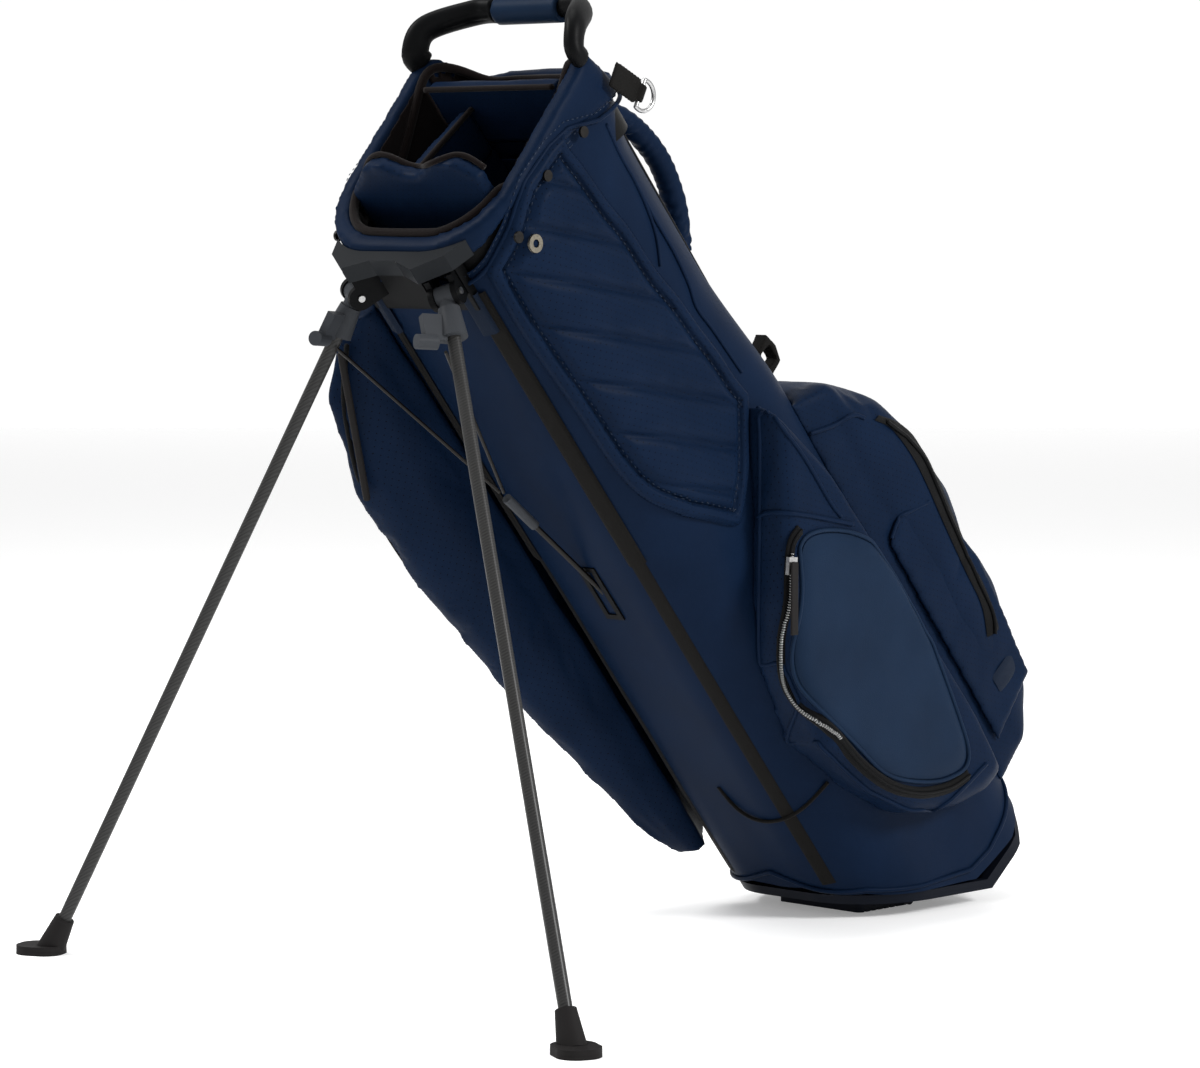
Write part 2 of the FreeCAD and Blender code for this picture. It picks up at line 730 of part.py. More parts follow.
def keep_box(name, low, lengths, label):
    """A plain panel: a box kept as a piece of its own."""
    block = box(name, low, lengths)
    inner = block.Placement
    keep(block, label, LEAN.multiply(inner))


# ---------------------------------------------------------------- handles and hardware


def make_top_handle():
    """Moulded handle core from one rim apex to the other, and its sleeve."""
    depth, level = N["gripDepth"], N["gripLevel"]
    half = N["gripLength"] / 2
    root = N["bodyWidth"] / 2 + N["cuffProud"] - N["cuffThick"] / 2
    apex = N["rimApex"]
    points = [
        Vec(N["apexDepth"] + 6, -root, apex + 0.7),
        Vec(N["apexDepth"] + 6, -root, apex + 12),
        Vec(N["apexDepth"] + 26, -root + 6, apex + 23),
        Vec(depth - 4, -half - 14, level + 2),
        Vec(depth, -half + 8, level),
        Vec(depth, half - 8, level),
        Vec(depth - 4, half + 14, level + 2),
        Vec(N["apexDepth"] + 26, root - 6, apex + 23),
        Vec(N["apexDepth"] + 6, root, apex + 12),
        Vec(N["apexDepth"] + 6, root, apex + 0.7),
    ]
    tube, _path, _radii = swept_tube(points, N["armRadius"])
    keep(plain_feature("handle_core", tube), "top_handle_frame")
    spot = Vec(depth, -half + 12, level)
    length = S["gripLength"] - 24
    outer = cylinder("grip_outer", S["gripRadius"], length, turned(Vec(0, 1, 0), spot))
    bore = cylinder("grip_bore", S["armRadius"] + S["slideFit"], length, turned(Vec(0, 1, 0), spot))
    keep(cut("grip", outer, bore), "top_handle_grip")


def make_carry_handle():
    """Soft handle that arches off the spine below the cuff."""
    back = (BODY_BACK + S["looseGap"]).value
    rise = N["carryRadius"]
    bow = [(0.3, 803), (23, 803), (47, 764), (57, 716), (46, 668), (24, 634), (0.3, 634)]
    points = [Vec(back + out, 0, fit_level(level).value) for out, level in bow]
    tube, _path, radii = swept_tube(points, rise)
    print("carry handle arc radii", [round(radius, 1) for radius in radii])
    keep(plain_feature("carry", tube), "carry_handle")


RING_MINOR = 2.0
RING_MAJOR = 13.0


def make_strap_rings():
    """Webbing anchors behind the rim apexes, each with a free swinging ring."""
    thick = 3.0
    for word, side in SIDES:
        plane = side * (N["bodyWidth"] / 2 + N["cuffProud"] + 0.8)
        low_y = plane if side > 0 else plane - thick
        start = Vec(N["apexDepth"] + 20, low_y, N["rimApex"] - 28)
        end = start + Vec(15, 0, -32)
        along = (end - start).normalize()
        turn = math.degrees(math.atan2(along.x, -along.z))
        place = FreeCAD.Placement(start, FreeCAD.Rotation(Vec(0, 1, 0), -turn))
        reach = (end - start).Length
        strap = box(f"anchor_web_{word}", (-12, 0, -reach), (24, thick, reach), place)
        middle = Vec(end.x + along.x * 3.6, low_y + thick / 2, end.z + along.z * 3.6)
        axis = Vec(-along.z, 0, along.x)
        eye = RING_MINOR + 2.4
        loop = cylinder(f"anchor_loop_{word}", eye, 16, turned(axis, middle - axis * 8))
        bore = cylinder(f"anchor_bore_{word}", RING_MINOR + 0.4, 40, turned(axis, middle - axis * 20))
        bar = fuse(f"anchor_body_{word}", [strap, loop])
        keep(cut(f"anchor_{word}", bar, bore), f"strap_anchor_{word}")
        ring = d_ring(middle, axis, along)
        keep(plain_feature(f"ring_{word}", ring), f"strap_ring_{word}")


def d_ring(middle, axis, down):
    """A D of round wire: a straight bar along axis and a bow hanging down."""
    half = RING_MAJOR
    left, right = middle - axis * half, middle + axis * half
    crest = middle + down * (half * 1.35)
    bow = Part.Wire([Part.Arc(right, crest, left).toShape()])
    tangent = bow.Edges[0].tangentAt(bow.Edges[0].FirstParameter)
    section = Part.Wire([Part.Circle(right, tangent, RING_MINOR).toShape()])
    curve = bow.makePipeShell([section], True, False)
    bar = Part.makeCylinder(RING_MINOR, 2 * half, left, axis)
    ends = [Part.makeSphere(RING_MINOR, spot) for spot in (left, right)]
    return bar.multiFuse([curve] + ends).removeSplitter()


RIVETS = ((-14, -2), (46, 16), (104, 17))  # depth, and level from the cuff's front seam
EYELET = (-2, -19)


def make_rivets():
    """Snap rivets along the cuff seam and a ring eyelet on each hip panel."""
    for word, side in SIDES:
        face = side * (N["bodyWidth"] / 2 + 2 * N["looseGap"] + N["padThick"])
        heads = []
        for number, (depth, level) in enumerate(RIVETS):
            start = Vec(fit_depth(depth).value, face + side * 0.2, N["seamFront"] + level)
            heads.append(cylinder(f"rivet_{word}_{number}", 5, 2.4, turned(Vec(0, side, 0), start)))
        group = fresh("Part::Compound", f"rivet_group_{word}")
        group.Links = heads
        keep(group, f"rivets_{word}")
        start = Vec(fit_depth(EYELET[0]).value, face + side * 0.2, N["seamFront"] + EYELET[1])
        place = turned(Vec(0, side, 0), start)
        outer = cylinder(f"eyelet_outer_{word}", 8, 2.4, place)
        hole = cylinder(f"eyelet_hole_{word}", 3.6, 2.4, place)
        keep(cut(f"eyelet_cut_{word}", outer, hole), f"eyelet_{word}")


# ---------------------------------------------------------------- leg bracket and legs


def pivot_spot(side):
    """Leg pivot in the bag's frame."""
    return Vec(N["bodyFront"] - N["pivotForward"], side * N["pivotHalf"], N["pivotLevel"])


def leg_placement(side):
    """The leg's own frame: +Z up the leg from the pivot, +X along its pin."""
    pivot = LEAN.multVec(pivot_spot(side))
    sole = Vec(pivot.x - N["legStride"], side * N["legSpread"], 0)
    down = (sole - pivot).normalize()
    folded = LEAN.Rotation.multVec(Vec(0, 0, -1))
    pin = down.cross(folded).normalize()
    up = down.negative()
    side_axis = up.cross(pin)
    turn = FreeCAD.Rotation(pin, side_axis, up, "ZXY")
    return FreeCAD.Placement(pivot, turn), sole


def make_leg(word, side):
    place, sole = leg_placement(side)
    knuckle = S["knuckleWidth"]
    length = S["collarLength"]
    across = turned(Vec(1, 0, 0), Vec(-N["knuckleWidth"] / 2, 0, 0))
    knob = cylinder(f"collar_knob_{word}", S["collarTopRadius"], knuckle, across)
    shoulder = S["earRadius"] + 1.5
    neck_place = FreeCAD.Placement(Vec(0, 0, -shoulder.value - 1), FreeCAD.Rotation())
    neck = cylinder(f"collar_neck_{word}", S["knuckleWidth"] / 2 - 0.4, shoulder + 1, neck_place)
    skirt_place = FreeCAD.Placement(Vec(0, 0, -N["collarLength"]), FreeCAD.Rotation())
    radii = (S["collarEndRadius"], S["collarTopRadius"])
    skirt = cone(f"collar_skirt_{word}", *radii, length - shoulder, skirt_place)
    # the hook points forward and a little inward; the far leg mirrors it
    angle = math.radians(-128.2 if side < 0 else -51.8)
    out = Vec(math.cos(angle), math.sin(angle), 0)
    hook_level = -(N["collarLength"] + 5)
    hook_start = out * 17 + Vec(0, 0, hook_level)
    hook = cylinder(f"collar_hook_{word}", S["hookRadius"], S["hookReach"] - 17, turned(out, hook_start))
    web_place = FreeCAD.Placement(Vec(0, 0, 0), FreeCAD.Rotation(Vec(0, 0, 1), math.degrees(angle)))
    web = box(f"collar_web_{word}", (8, -4, hook_level + 1), (20, 8, 24), web_place)
    body = fuse(f"collar_body_{word}", [knob, neck, skirt, hook, web])
    pin_place = turned(Vec(1, 0, 0), Vec(-40, 0, 0))
    pin_bore = cylinder(f"collar_pin_bore_{word}", S["pinRadius"] + S["pinFit"], 80, pin_place)
    socket_place = FreeCAD.Placement(Vec(0, 0, -N["collarLength"] - 1), FreeCAD.Rotation())
    socket_depth = length + 1 - S["tubeTop"] + S["looseGap"]
    socket = cylinder(f"collar_socket_{word}", S["tubeRadius"] + S["slideFit"], socket_depth, socket_place)
    bores = fuse(f"collar_bores_{word}", [pin_bore, socket])
    keep(cut(f"collar_cut_{word}", body, bores), f"leg_collar_{word}", place)
    # tube
    tube_length = S["legLength"] - S["tubeTop"] - S["tubeBottom"]
    low = Vec(0, 0, -(N["legLength"] - N["tubeBottom"]))
    tube_place = FreeCAD.Placement(low, FreeCAD.Rotation())
    outer = cylinder(f"tube_outer_{word}", S["tubeRadius"], tube_length, tube_place)
    bore_radius = S["tubeRadius"] - S["tubeWall"]
    inner = cylinder(f"tube_bore_{word}", bore_radius, tube_length, tube_place)
    keep(cut(f"tube_{word}", outer, inner), f"leg_tube_{word}", place)
    # rubber foot: a flat sole under a sleeve in line with the tube
    sole_turn = math.degrees(math.atan2(sole.y - place.Base.y, sole.x - place.Base.x))
    sole_place = FreeCAD.Placement(sole, FreeCAD.Rotation(Vec(0, 0, 1), sole_turn))
    half = S["footLength"] / 2
    shift = S["footShift"]
    corner = S["footWidth"] / 2 - 3
    ends = (shift - half, shift + half)
    pad = plan_block(f"sole_{word}", *ends, S["footWidth"] / 2, corner, 0, S["footSole"])
    pad.Placement = sole_place
    sleeve_low = Vec(0, 0, -N["legLength"] + 3)
    sleeve_place = place.multiply(FreeCAD.Placement(sleeve_low, FreeCAD.Rotation()))
    sleeve = cone(f"sleeve_{word}", S["tubeRadius"] + 7, S["tubeRadius"] + 3, S["footNeck"], sleeve_place)
    socket_low = Vec(0, 0, -(N["legLength"] - N["tubeBottom"]) - N["looseGap"])
    socket_place = place.multiply(FreeCAD.Placement(socket_low, FreeCAD.Rotation()))
    socket_radius = S["tubeRadius"] + S["slideFit"]
    socket = cylinder(f"sole_socket_{word}", socket_radius, S["footNeck"] + 20, socket_place)
    floor_place = FreeCAD.Placement(sole, FreeCAD.Rotation())
    floor_cut = box(f"sole_floor_{word}", (-60, -60, -40), (120, 120, 40), floor_place)
    body = fuse(f"foot_body_{word}", [pad, sleeve])
    bores = fuse(f"foot_bores_{word}", [socket, floor_cut])
    keep(cut(f"foot_{word}", body, bores), f"leg_foot_{word}", UPRIGHT)
    return place


def make_bracket(places):
    """Moulded bracket on the front face: a back plate and two ears for each leg."""
    front = S["bodyFront"] - S["looseGap"]
    half = S["pivotHalf"] + 8
    low, high = S["pivotLevel"] - 30, S["seamFront"] - 1
    plate = box("bracket_plate", (front - 3, -half, low), (17, 2 * half, high - low))
    middle = box("bracket_boss", (front - 12, -24, low + 11), (12, 48, high - low - 11))
    ears = []
    cuts = []
    lean_back = LEAN.inverse()
    for (word, side), place in zip(SIDES, places):
        local = lean_back.multiply(place)
        pin_axis = local.Rotation.multVec(Vec(1, 0, 0))
        rearward = FreeCAD.Rotation(Vec(0, 0, 1), math.degrees(math.atan2(pin_axis.x, -pin_axis.y)))
        offset = N["knuckleWidth"] / 2 + N["looseGap"]
        for hand in (-1, 1):
            ear_place = local.multiply(turned(Vec(hand, 0, 0), Vec(hand * offset, 0, 0)))
            ears.append(cylinder(f"ear_{word}_{hand + 1}", S["earRadius"], S["earThick"], ear_place))
            # a cheek from the ear back into the plate
            centre = pivot_spot(side) + pin_axis * (hand * (offset + N["earThick"] / 2))
            low = (0, -S["earThick"] / 2, -S["earRadius"])
            lengths = (S["pivotForward"] + 12, S["earThick"], S["earRadius"] + 18)
            ears.append(box(f"cheek_{word}_{hand + 1}", low, lengths, FreeCAD.Placement(centre, rearward)))
        bore_place = local.multiply(turned(Vec(1, 0, 0), Vec(-60, 0, 0)))
        cuts.append(cylinder(f"ear_bore_{word}", S["pinRadius"] + S["pinFit"], 120, bore_place))
    body = fuse("bracket_body", [plate, middle] + ears)
    cuts.append(column("bracket_clear", S["looseGap"], LOW, HIGH))
    keep(cut("bracket", body, fuse("bracket_cuts", cuts)), "leg_bracket")
    for (word, side), place in zip(SIDES, places):
        length = S["knuckleWidth"] + 2 * S["earThick"] + 2 * S["looseGap"] + 3
        start = Vec(-length.value / 2, 0, 0)
        pin = cylinder(f"leg_pin_{word}", S["pinRadius"], length)
        keep(pin, f"leg_pin_{word}", place.multiply(turned(Vec(1, 0, 0), start)))


def make_bracket_cover():
    """Winged visor over the bracket, notched in the middle."""
    front, half = S["bodyFront"], S["pivotHalf"]
    edge = [
        (front + 15, half + 25), (front - 10, half + 14), (front - 29, half - 13),
        (front - 18, as_size(16)),
    ]
    wall, narrow = 4.0, 0.94
    outer = [(x, -y) for x, y in edge] + [(x, y) for x, y in reversed(edge)]
    inner = [(x + wall, y * narrow) for x, y in edge] + [(x + wall, -y * narrow) for x, y in reversed(edge)]
    low, high = S["seamFront"] - 0.6, S["seamFront"] + 16
    wings = plan_prism("cover_wings", outer + inner, low, high)
    lid = plan_prism("cover_lid", outer, high - wall, high)
    shell = fuse("cover_shell", [wings, lid])
    clear = column("cover_clear", S["cuffProud"] + 0.5, LOW, HIGH)
    keep(cut("cover", shell, clear), "bracket_cover")


# ---------------------------------------------------------------- spreader linkage


def wire_top(side, place):
    """Upper end of a spreader wire, beside the leg, in world coordinates."""
    down = place.Rotation.multVec(Vec(0, 0, -1))
    spot = place.Base + down * N["wireDrop"]
    return spot + Vec(-N["wireAhead"], -side * N["wireInside"], 0)


def make_linkage(places):
    join = Vec(N["joinDepth"], 0, N["joinLevel"])
    slot = Vec(N["slotDepth"], 0, N["slotLevel"])
    down = (slot - join).normalize()
    sleeve = cylinder("junction", S["sleeveRadius"], S["sleeveLength"], turned(down, join + down * 1.5))
    rod = cylinder("rod", S["rodRadius"], S["rodLength"], turned(down, join + down * 8))
    bore = cylinder("junction_bore", S["rodRadius"], S["sleeveLength"], turned(down, join + down * 8))
    keep(cut("junction_cut", sleeve, bore), "junction_sleeve")
    placement = rod.Placement
    keep(rod, "actuator_rod", LEAN.multiply(placement))
    join_world = LEAN.multVec(join)
    for (word, side), place in zip(SIDES, places):
        top = wire_top(side, place)
        along = (join_world - top).normalize()
        start, end = top + along * 4.5, join_world - along * 7
        wire = cylinder(f"wire_{word}", S["wireRadius"], (end - start).Length)
        keep(wire, f"spreader_wire_{word}", turned(along, start))
    # bezel on the front face round the slot
    low = (S["bodyFront"] - S["looseGap"] - 3.5, -11, S["slotLevel"] - 7)
    plate = box("bezel_plate", low, (3.5, 22, 64))
    low = (S["bodyFront"] - 12, -5.5, S["slotLevel"] - 1)
    hole = box("bezel_hole", low, (20, 11, 53))
    keep(cut("bezel", plate, hole), "rod_bezel")
    # push rod and its guide inside the bag
    tip, top = push_line()
    along = (top - tip).normalize()
    push = cylinder("push", S["pushRadius"], (top - tip).Length)
    keep(push, "push_rod", LEAN.multiply(turned(along, tip)))
    bore = S["pushRadius"] + S["slideFit"]
    start = tip + along * 46
    length = (top - tip).Length - 46 - 40
    outer = cylinder("guide_outer", bore + S["guideWall"], length, turned(along, start))
    inner = cylinder("guide_bore", bore, length, turned(along, start))
    keep(cut("guide", outer, inner), "push_rod_guide")


# ---------------------------------------------------------------- soft goods


HIP_TOP = [(-22, 812), (-16, 845), (0, 860), (46, 868), (112, 866), (150, 850), (196, 798)]
HIP_NEAR = [(196, 580), (150, 566), (112, 556), (58, 478), (36, 470)]
HIP_FAR = [(196, 566), (150, 560), (110, 560), (26, 560)]
RAIL_TOP, RAIL_BOTTOM = (-40, 808), (-18, 96)


def make_hip_panels():
    """Quilted panels on both flanks under the cuff."""
    for (word, side), lower in zip(SIDES, (HIP_NEAR, HIP_FAR)):
        pad = wrapped_pad(f"hip_{word}", fitted(HIP_TOP + lower), side, S["looseGap"], S["padThick"])
        keep(pad, f"hip_panel_{word}")


def rail_outline(grow):
    """One webbing rail from the side, grown all round."""
    (top, high), (bottom, low) = fitted([RAIL_TOP, RAIL_BOTTOM])
    wide = S["railWidth"] + grow
    return [
        (top - grow, high + grow), (top + wide, high + grow),
        (bottom + wide, low - grow), (bottom - grow, low - grow),
    ]


def make_rails():
    """Webbing rails that run down the flanks from the bracket to the base."""
    for word, side in SIDES:
        rail = wrapped_pad(f"rail_{word}", rail_outline(0), side, S["looseGap"], S["railThick"])
        keep(rail, f"webbing_rail_{word}")


SLIDER_SPOT = (36, 425)
SLIDER_TURN = 43.6
APPAREL_ZIP = (
    (-76, 100, 778), (-104, 113, 735), (-126, 127, 660), (-126, 134, 600), (-125, 134, 545),
    (-117, 132, 470), (-104, 130, 400),
)
ZIP_BEAD = 2.6
APPAREL_PULL = ((-92, 92, 782), (-136, 116, 645))


def loft(sections):
    """A solid through closed outlines that all have the same number of points."""
    wires = [Part.makePolygon(points + points[:1]) for points in sections]
    return Part.makeLoft(wires, True, True)


SIDE_POCKET = [
    (118, 545), (66, 470), (12, 400), (-16, 340), (-28, 255), (-8, 180), (22, 118),
    (70, 76), (118, 52), (146, 52), (150, 120), (146, 300), (138, 460),
]


def make_side_pocket():
    """Near side pocket: a deep panel that stands off the flank and wraps its front corner."""
    face = -N["bodyWidth"] / 2
    outline = [(depth.value, level.value) for depth, level in fitted(SIDE_POCKET)]
    middle = [sum(numbers) / len(outline) for numbers in zip(*outline)]
    stations = ((-1.1, 1.0), (0.5, 1.0), (0.85, 0.97), (1.0, 0.9))
    sections = []
    for share, size in stations:
        width = face - share * N["sideProud"]
        scaled = [[mid + (number - mid) * size for number, mid in zip(point, middle)] for point in outline]
        sections.append([Vec(depth, width, level) for depth, level in scaled])
    pocket = plain_feature("side_pocket_loft", loft(sections))
    clear = column("side_pocket_clear", S["looseGap"], LOW, HIGH)
    rail = wrapped_pad("side_pocket_rail", rail_outline(1), -1, 0, 2 * S["looseGap"] + S["railThick"])
    keep(cut("side_pocket_cut", pocket, fuse("side_pocket_room", [clear, rail])), "side_pocket")


def make_apparel_pocket():
    """Far side apparel pocket: long and full, from the front corner round the flank."""
    half, leg = N["bodyWidth"] / 2, N["pivotHalf"]
    proud = N["apparelProud"]
    front = N["bodyFront"]

    def station(level, swell):
        behind = [fit_depth(front_gap + DRAWN_FRONT).value for front_gap in (40, 130, 200, 214, 120)]
        points = [
            (front - 2, leg + 26), (front - 44 * swell, leg + 33), (front - 72 * swell, leg + 50),
            (front - 83 * swell, half + 33 * swell), (front - 46 * swell, half + 0.85 * proud * swell),
            (behind[0], half + proud * swell), (behind[1], half + 0.86 * proud * swell),
            (behind[2], half + 0.4 * proud * swell), (behind[3], half - 20), (behind[4], half - 30),
            (behind[0], half - 30),
        ]
        return [Vec(x, y, fit_level(level).value) for x, y in points]

    levels = (
        (792, 0.16), (740, 0.7), (650, 1.0), (540, 1.0),
        (400, 0.84), (260, 0.56), (150, 0.3), (112, 0.12),
    )
    sections = [station(level, swell) for level, swell in levels]
    pocket = plain_feature("apparel_loft", loft(sections))
    clear = column("apparel_clear", S["looseGap"] + S["padThick"] + 0.5, LOW, HIGH)
    groove, _path, _radii = swept_tube([proud_point(*spot) for spot in APPAREL_ZIP], ZIP_BEAD + 0.3)
    room = fuse("apparel_room", [clear, plain_feature("apparel_groove", groove)])
    keep(cut("apparel_cut", pocket, room), "apparel_pocket")


def make_ball_pocket():
    """Ball pocket on the spine, with a slip panel on each side of it."""
    gap = N["looseGap"] + 0.6
    back = N["bodyFront"] + N["bodyDepth"] + gap
    proud = N["ballProud"]
    half = N["ballWidth"] / 2
    profile = [
        (-26, 492), (0.28 * proud, 470), (0.74 * proud, 404), (0.92 * proud, 350), (proud, 272),
        (0.94 * proud, 150), (0.7 * proud, 50), (0.3 * proud, 6), (-26, -2),
    ]
    profile = [(back + out, fit_level(level).value) for out, level in profile]
    stations = ((-1.0, 0.8), (-0.82, 0.96), (-0.4, 1.0), (0.4, 1.0), (0.82, 0.96), (1.0, 0.8))
    sections = []
    for share, size in stations:
        sections.append([
            Vec(back + (x - back) * size if x > back else x, share * half, z) for x, z in profile
        ])
    pocket = plain_feature("ball_loft", loft(sections))
    clear = column("ball_clear", gap, LOW, HIGH)
    keep(cut("ball_cut", pocket, clear), "ball_pocket")
    slip_profile = ((-6, 300), (0.52 * proud, 330), (0.72 * proud, 200), (0.6 * proud, 60), (-6, 40))
    for word, side in SIDES:
        plane = side * (half + 1.2)
        low_y, high_y = (plane, plane + 5) if side > 0 else (plane - 5, plane)
        slip = side_prism(
            f"slip_{word}",
            [(back + out, fit_level(level)) for out, level in slip_profile],
            low_y,
            high_y,
        )
        clear_slip = column(f"slip_clear_{word}", gap + 0.4, LOW, HIGH)
        keep(cut(f"slip_cut_{word}", slip, clear_slip), f"slip_panel_{word}")


def make_zips():
    """Zip tapes, and the slider and pulls that move."""
    thick = N["zipThick"]
    # side pocket: a strip along the pocket's front edge
    face = -(N["bodyWidth"] / 2 + N["sideProud"] + 0.4)
    strip = [
        (74, 452), (40, 430), (4, 392), (-12, 350), (-12, 290), (0, 225), (24, 150), (60, 108), (104, 84),
        (106, 92), (65, 115), (31, 154), (8, 228), (-4, 291), (-4, 348), (11, 386), (46, 422), (78, 444),
    ]
    keep(side_prism("side_tape", fitted(strip), face - thick, face), "side_pocket_zip")
    depth, level = fitted([SLIDER_SPOT])[0]
    run = FreeCAD.Placement(Vec(depth.value, 0, level.value), FreeCAD.Rotation(Vec(0, 1, 0), SLIDER_TURN))
    top = face - thick - 0.4
    slider = box("side_slider_block", (-5.5, top - 4, -8), (11, 4, 16), run)
    inner = slider.Placement
    keep(slider, "side_zip_slider", LEAN.multiply(inner))
    # the pull hangs plumb from the slider
    hang = LEAN.multiply(run).Base
    pull_place = FreeCAD.Placement(hang, FreeCAD.Rotation())
    pull = box("side_pull_block", (-4.5, top - 7, -62), (9, 2.4, 66), pull_place)
    inner = pull.Placement
    keep(pull, "side_zip_pull", inner)
    # apparel pocket: a bead along its front outer edge
    points = [proud_point(*spot) for spot in APPAREL_ZIP]
    tube, _path, _radii = swept_tube(points, ZIP_BEAD)
    keep(plain_feature("apparel_bead", tube), "apparel_pocket_zip")
    top, low = [proud_point(*spot) for spot in APPAREL_PULL]
    along = low - top
    pull = cylinder("apparel_pull", 3.4, along.Length)
    keep(pull, "apparel_zip_pull", LEAN.multiply(turned(along, top)))


def make_loops():
    """Small webbing loops for the strap's lower clips and a towel."""
    back = N["bodyFront"] + N["bodyDepth"] + N["looseGap"]
    level = fit_level(516)
    for word, side in SIDES:
        outer = side_prism(
            f"clip_arch_{word}",
            [
                (back, level + 12), (back + 22, level + 20), (back + 26, level + 4),
                (back + 22, level - 12), (back, level - 16),
            ],
            side * 46 - 7,
            side * 46 + 7,
        )
        hole = box(f"clip_hole_{word}", (back + 4, side * 46 - 10, level - 7), (15, 20, 17))
        keep(cut(f"clip_{word}", outer, hole), f"clip_loop_{word}")


BUNGEE_RADIUS = 1.75
BUNGEE_ROUTE = (
    (-15, -99.9, 194), (-33, -85.5, 184), (-45.8, -67.4, 176), (-52.9, -48, 172.5), (-54.6, -28, 172.5),
    (-54.4, -12, 181), (-53.6, -3, 196), (-52.4, 1, 212),
)


def make_bungee():
    """Thin elastic cord that sags across the front from the side pocket's seam."""
    shift = DRAWN_HALF - N["bodyWidth"] / 2
    points = [Vec(N["bodyFront"] - DRAWN_FRONT + x, min(y + shift, 1.0), z) for x, y, z in BUNGEE_ROUTE]
    tube, path, radii = swept_tube(points, BUNGEE_RADIUS)
    print("bungee length", round(path.Length, 1), "radii", [round(radius, 1) for radius in radii])
    print("bungee volume ratio", round(tube.Volume / (math.pi * BUNGEE_RADIUS**2 * path.Length), 3))
    keep(plain_feature("bungee", tube), "bungee_cord")


make_base_tray()
make_base_foot()
make_body_shell()
make_stays()
make_cuff()
make_dividers()
make_top_handle()
make_carry_handle()
make_strap_rings()
make_rivets()
leg_places = [make_leg(word, side) for word, side in SIDES]
make_bracket(leg_places)
make_bracket_cover()
make_linkage(leg_places)
make_hip_panels()
make_rails()
make_side_pocket()
make_apparel_pocket()
make_ball_pocket()
make_zips()
make_loops()
make_bungee()

doc.recompute()
failed = [item.Name for item in doc.Objects if "Invalid" in item.State or "Error" in item.State]
if failed:
    raise RuntimeError("failed objects: " + ", ".join(failed))

os.makedirs("parts", exist_ok=True)
for piece in pieces:
    shape = piece.Shape
    if shape.isNull() or not shape.isValid() or not shape.Solids:
        raise RuntimeError("bad shape: " + piece.Label)
    low, high = shape.BoundBox, shape.Volume
    print(f"{piece.Label:24s} solids {len(shape.Solids):2d} volume {high / 1000:9.2f} cm3"
          f"  x {low.XMin:7.1f} {low.XMax:7.1f}  y {low.YMin:7.1f} {low.YMax:7.1f}"
          f"  z {low.ZMin:7.1f} {low.ZMax:7.1f}")
    shape.exportStep(f"parts/{piece.Label}.step")
print("pieces", len(pieces))
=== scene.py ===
import math
import bpy
import bmesh
from mathutils import Matrix, Vector, noise
from mathutils.bvhtree import BVHTree


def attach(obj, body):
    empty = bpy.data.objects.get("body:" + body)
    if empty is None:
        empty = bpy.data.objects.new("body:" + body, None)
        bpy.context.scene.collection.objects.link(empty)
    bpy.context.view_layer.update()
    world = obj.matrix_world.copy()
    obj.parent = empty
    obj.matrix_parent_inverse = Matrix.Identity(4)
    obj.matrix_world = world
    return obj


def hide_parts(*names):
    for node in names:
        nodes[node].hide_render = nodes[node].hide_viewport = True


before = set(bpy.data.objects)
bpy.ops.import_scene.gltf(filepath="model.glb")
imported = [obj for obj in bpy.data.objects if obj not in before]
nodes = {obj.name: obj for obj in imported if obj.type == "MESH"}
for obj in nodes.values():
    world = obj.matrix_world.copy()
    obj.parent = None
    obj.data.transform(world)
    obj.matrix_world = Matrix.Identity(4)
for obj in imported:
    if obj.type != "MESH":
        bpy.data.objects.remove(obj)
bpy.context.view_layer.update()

print("frame loaded:", len(nodes), "nodes")

# The bag is drawn upright, then leaned. There v is depth (front negative, spine positive),
# y is width (near side negative) and u runs up from the base. w runs round the body from
# the middle of the front, positive towards the near side. All in metres.
bag = dict(lean=39.5, front=-0.050, depth=0.250, half=0.1025, corner=0.070, axis=0.075)
leanTurn = Matrix.Rotation(math.radians(-bag["lean"]), 4, "Y")
flatRun = bag["half"] - bag["corner"]
arcRun = bag["corner"] * math.pi / 2
sideRun = bag["depth"] - 2 * bag["corner"]
wholeRun = 2 * (flatRun + arcRun) + sideRun
spine = bag["front"] + bag["depth"]


def spot(v, y, u):
    return leanTurn @ Vector((v, y, u))


def around(w, off=0.0):
    side = -1 if w >= 0 else 1
    run = min(abs(w), wholeRun)
    radius = bag["corner"] + off
    if run < flatRun:
        return bag["front"] - off, side * run
    run -= flatRun
    if run < arcRun:
        turn = run / bag["corner"]
        v = bag["front"] + bag["corner"] - radius * math.cos(turn)
        return v, side * (flatRun + radius * math.sin(turn))
    run -= arcRun
    if run < sideRun:
        return bag["front"] + bag["corner"] + run, side * (bag["half"] + off)
    run -= sideRun
    if run < arcRun:
        turn = run / bag["corner"]
        return spine - bag["corner"] + radius * math.sin(turn), side * (flatRun + radius * math.cos(turn))
    return spine + off, side * max(flatRun - (run - arcRun), 0)


def onBag(w, u, off=0.0):
    v, y = around(w, off)
    return spot(v, y, u)


def mix(a, b, share):
    return a + (b - a) * share


def ease(low, high, value):
    # 0 at low and 1 at high, which may lie either way round
    share = min(max((value - low) / (high - low), 0.0), 1.0)
    return share * share * (3 - 2 * share)


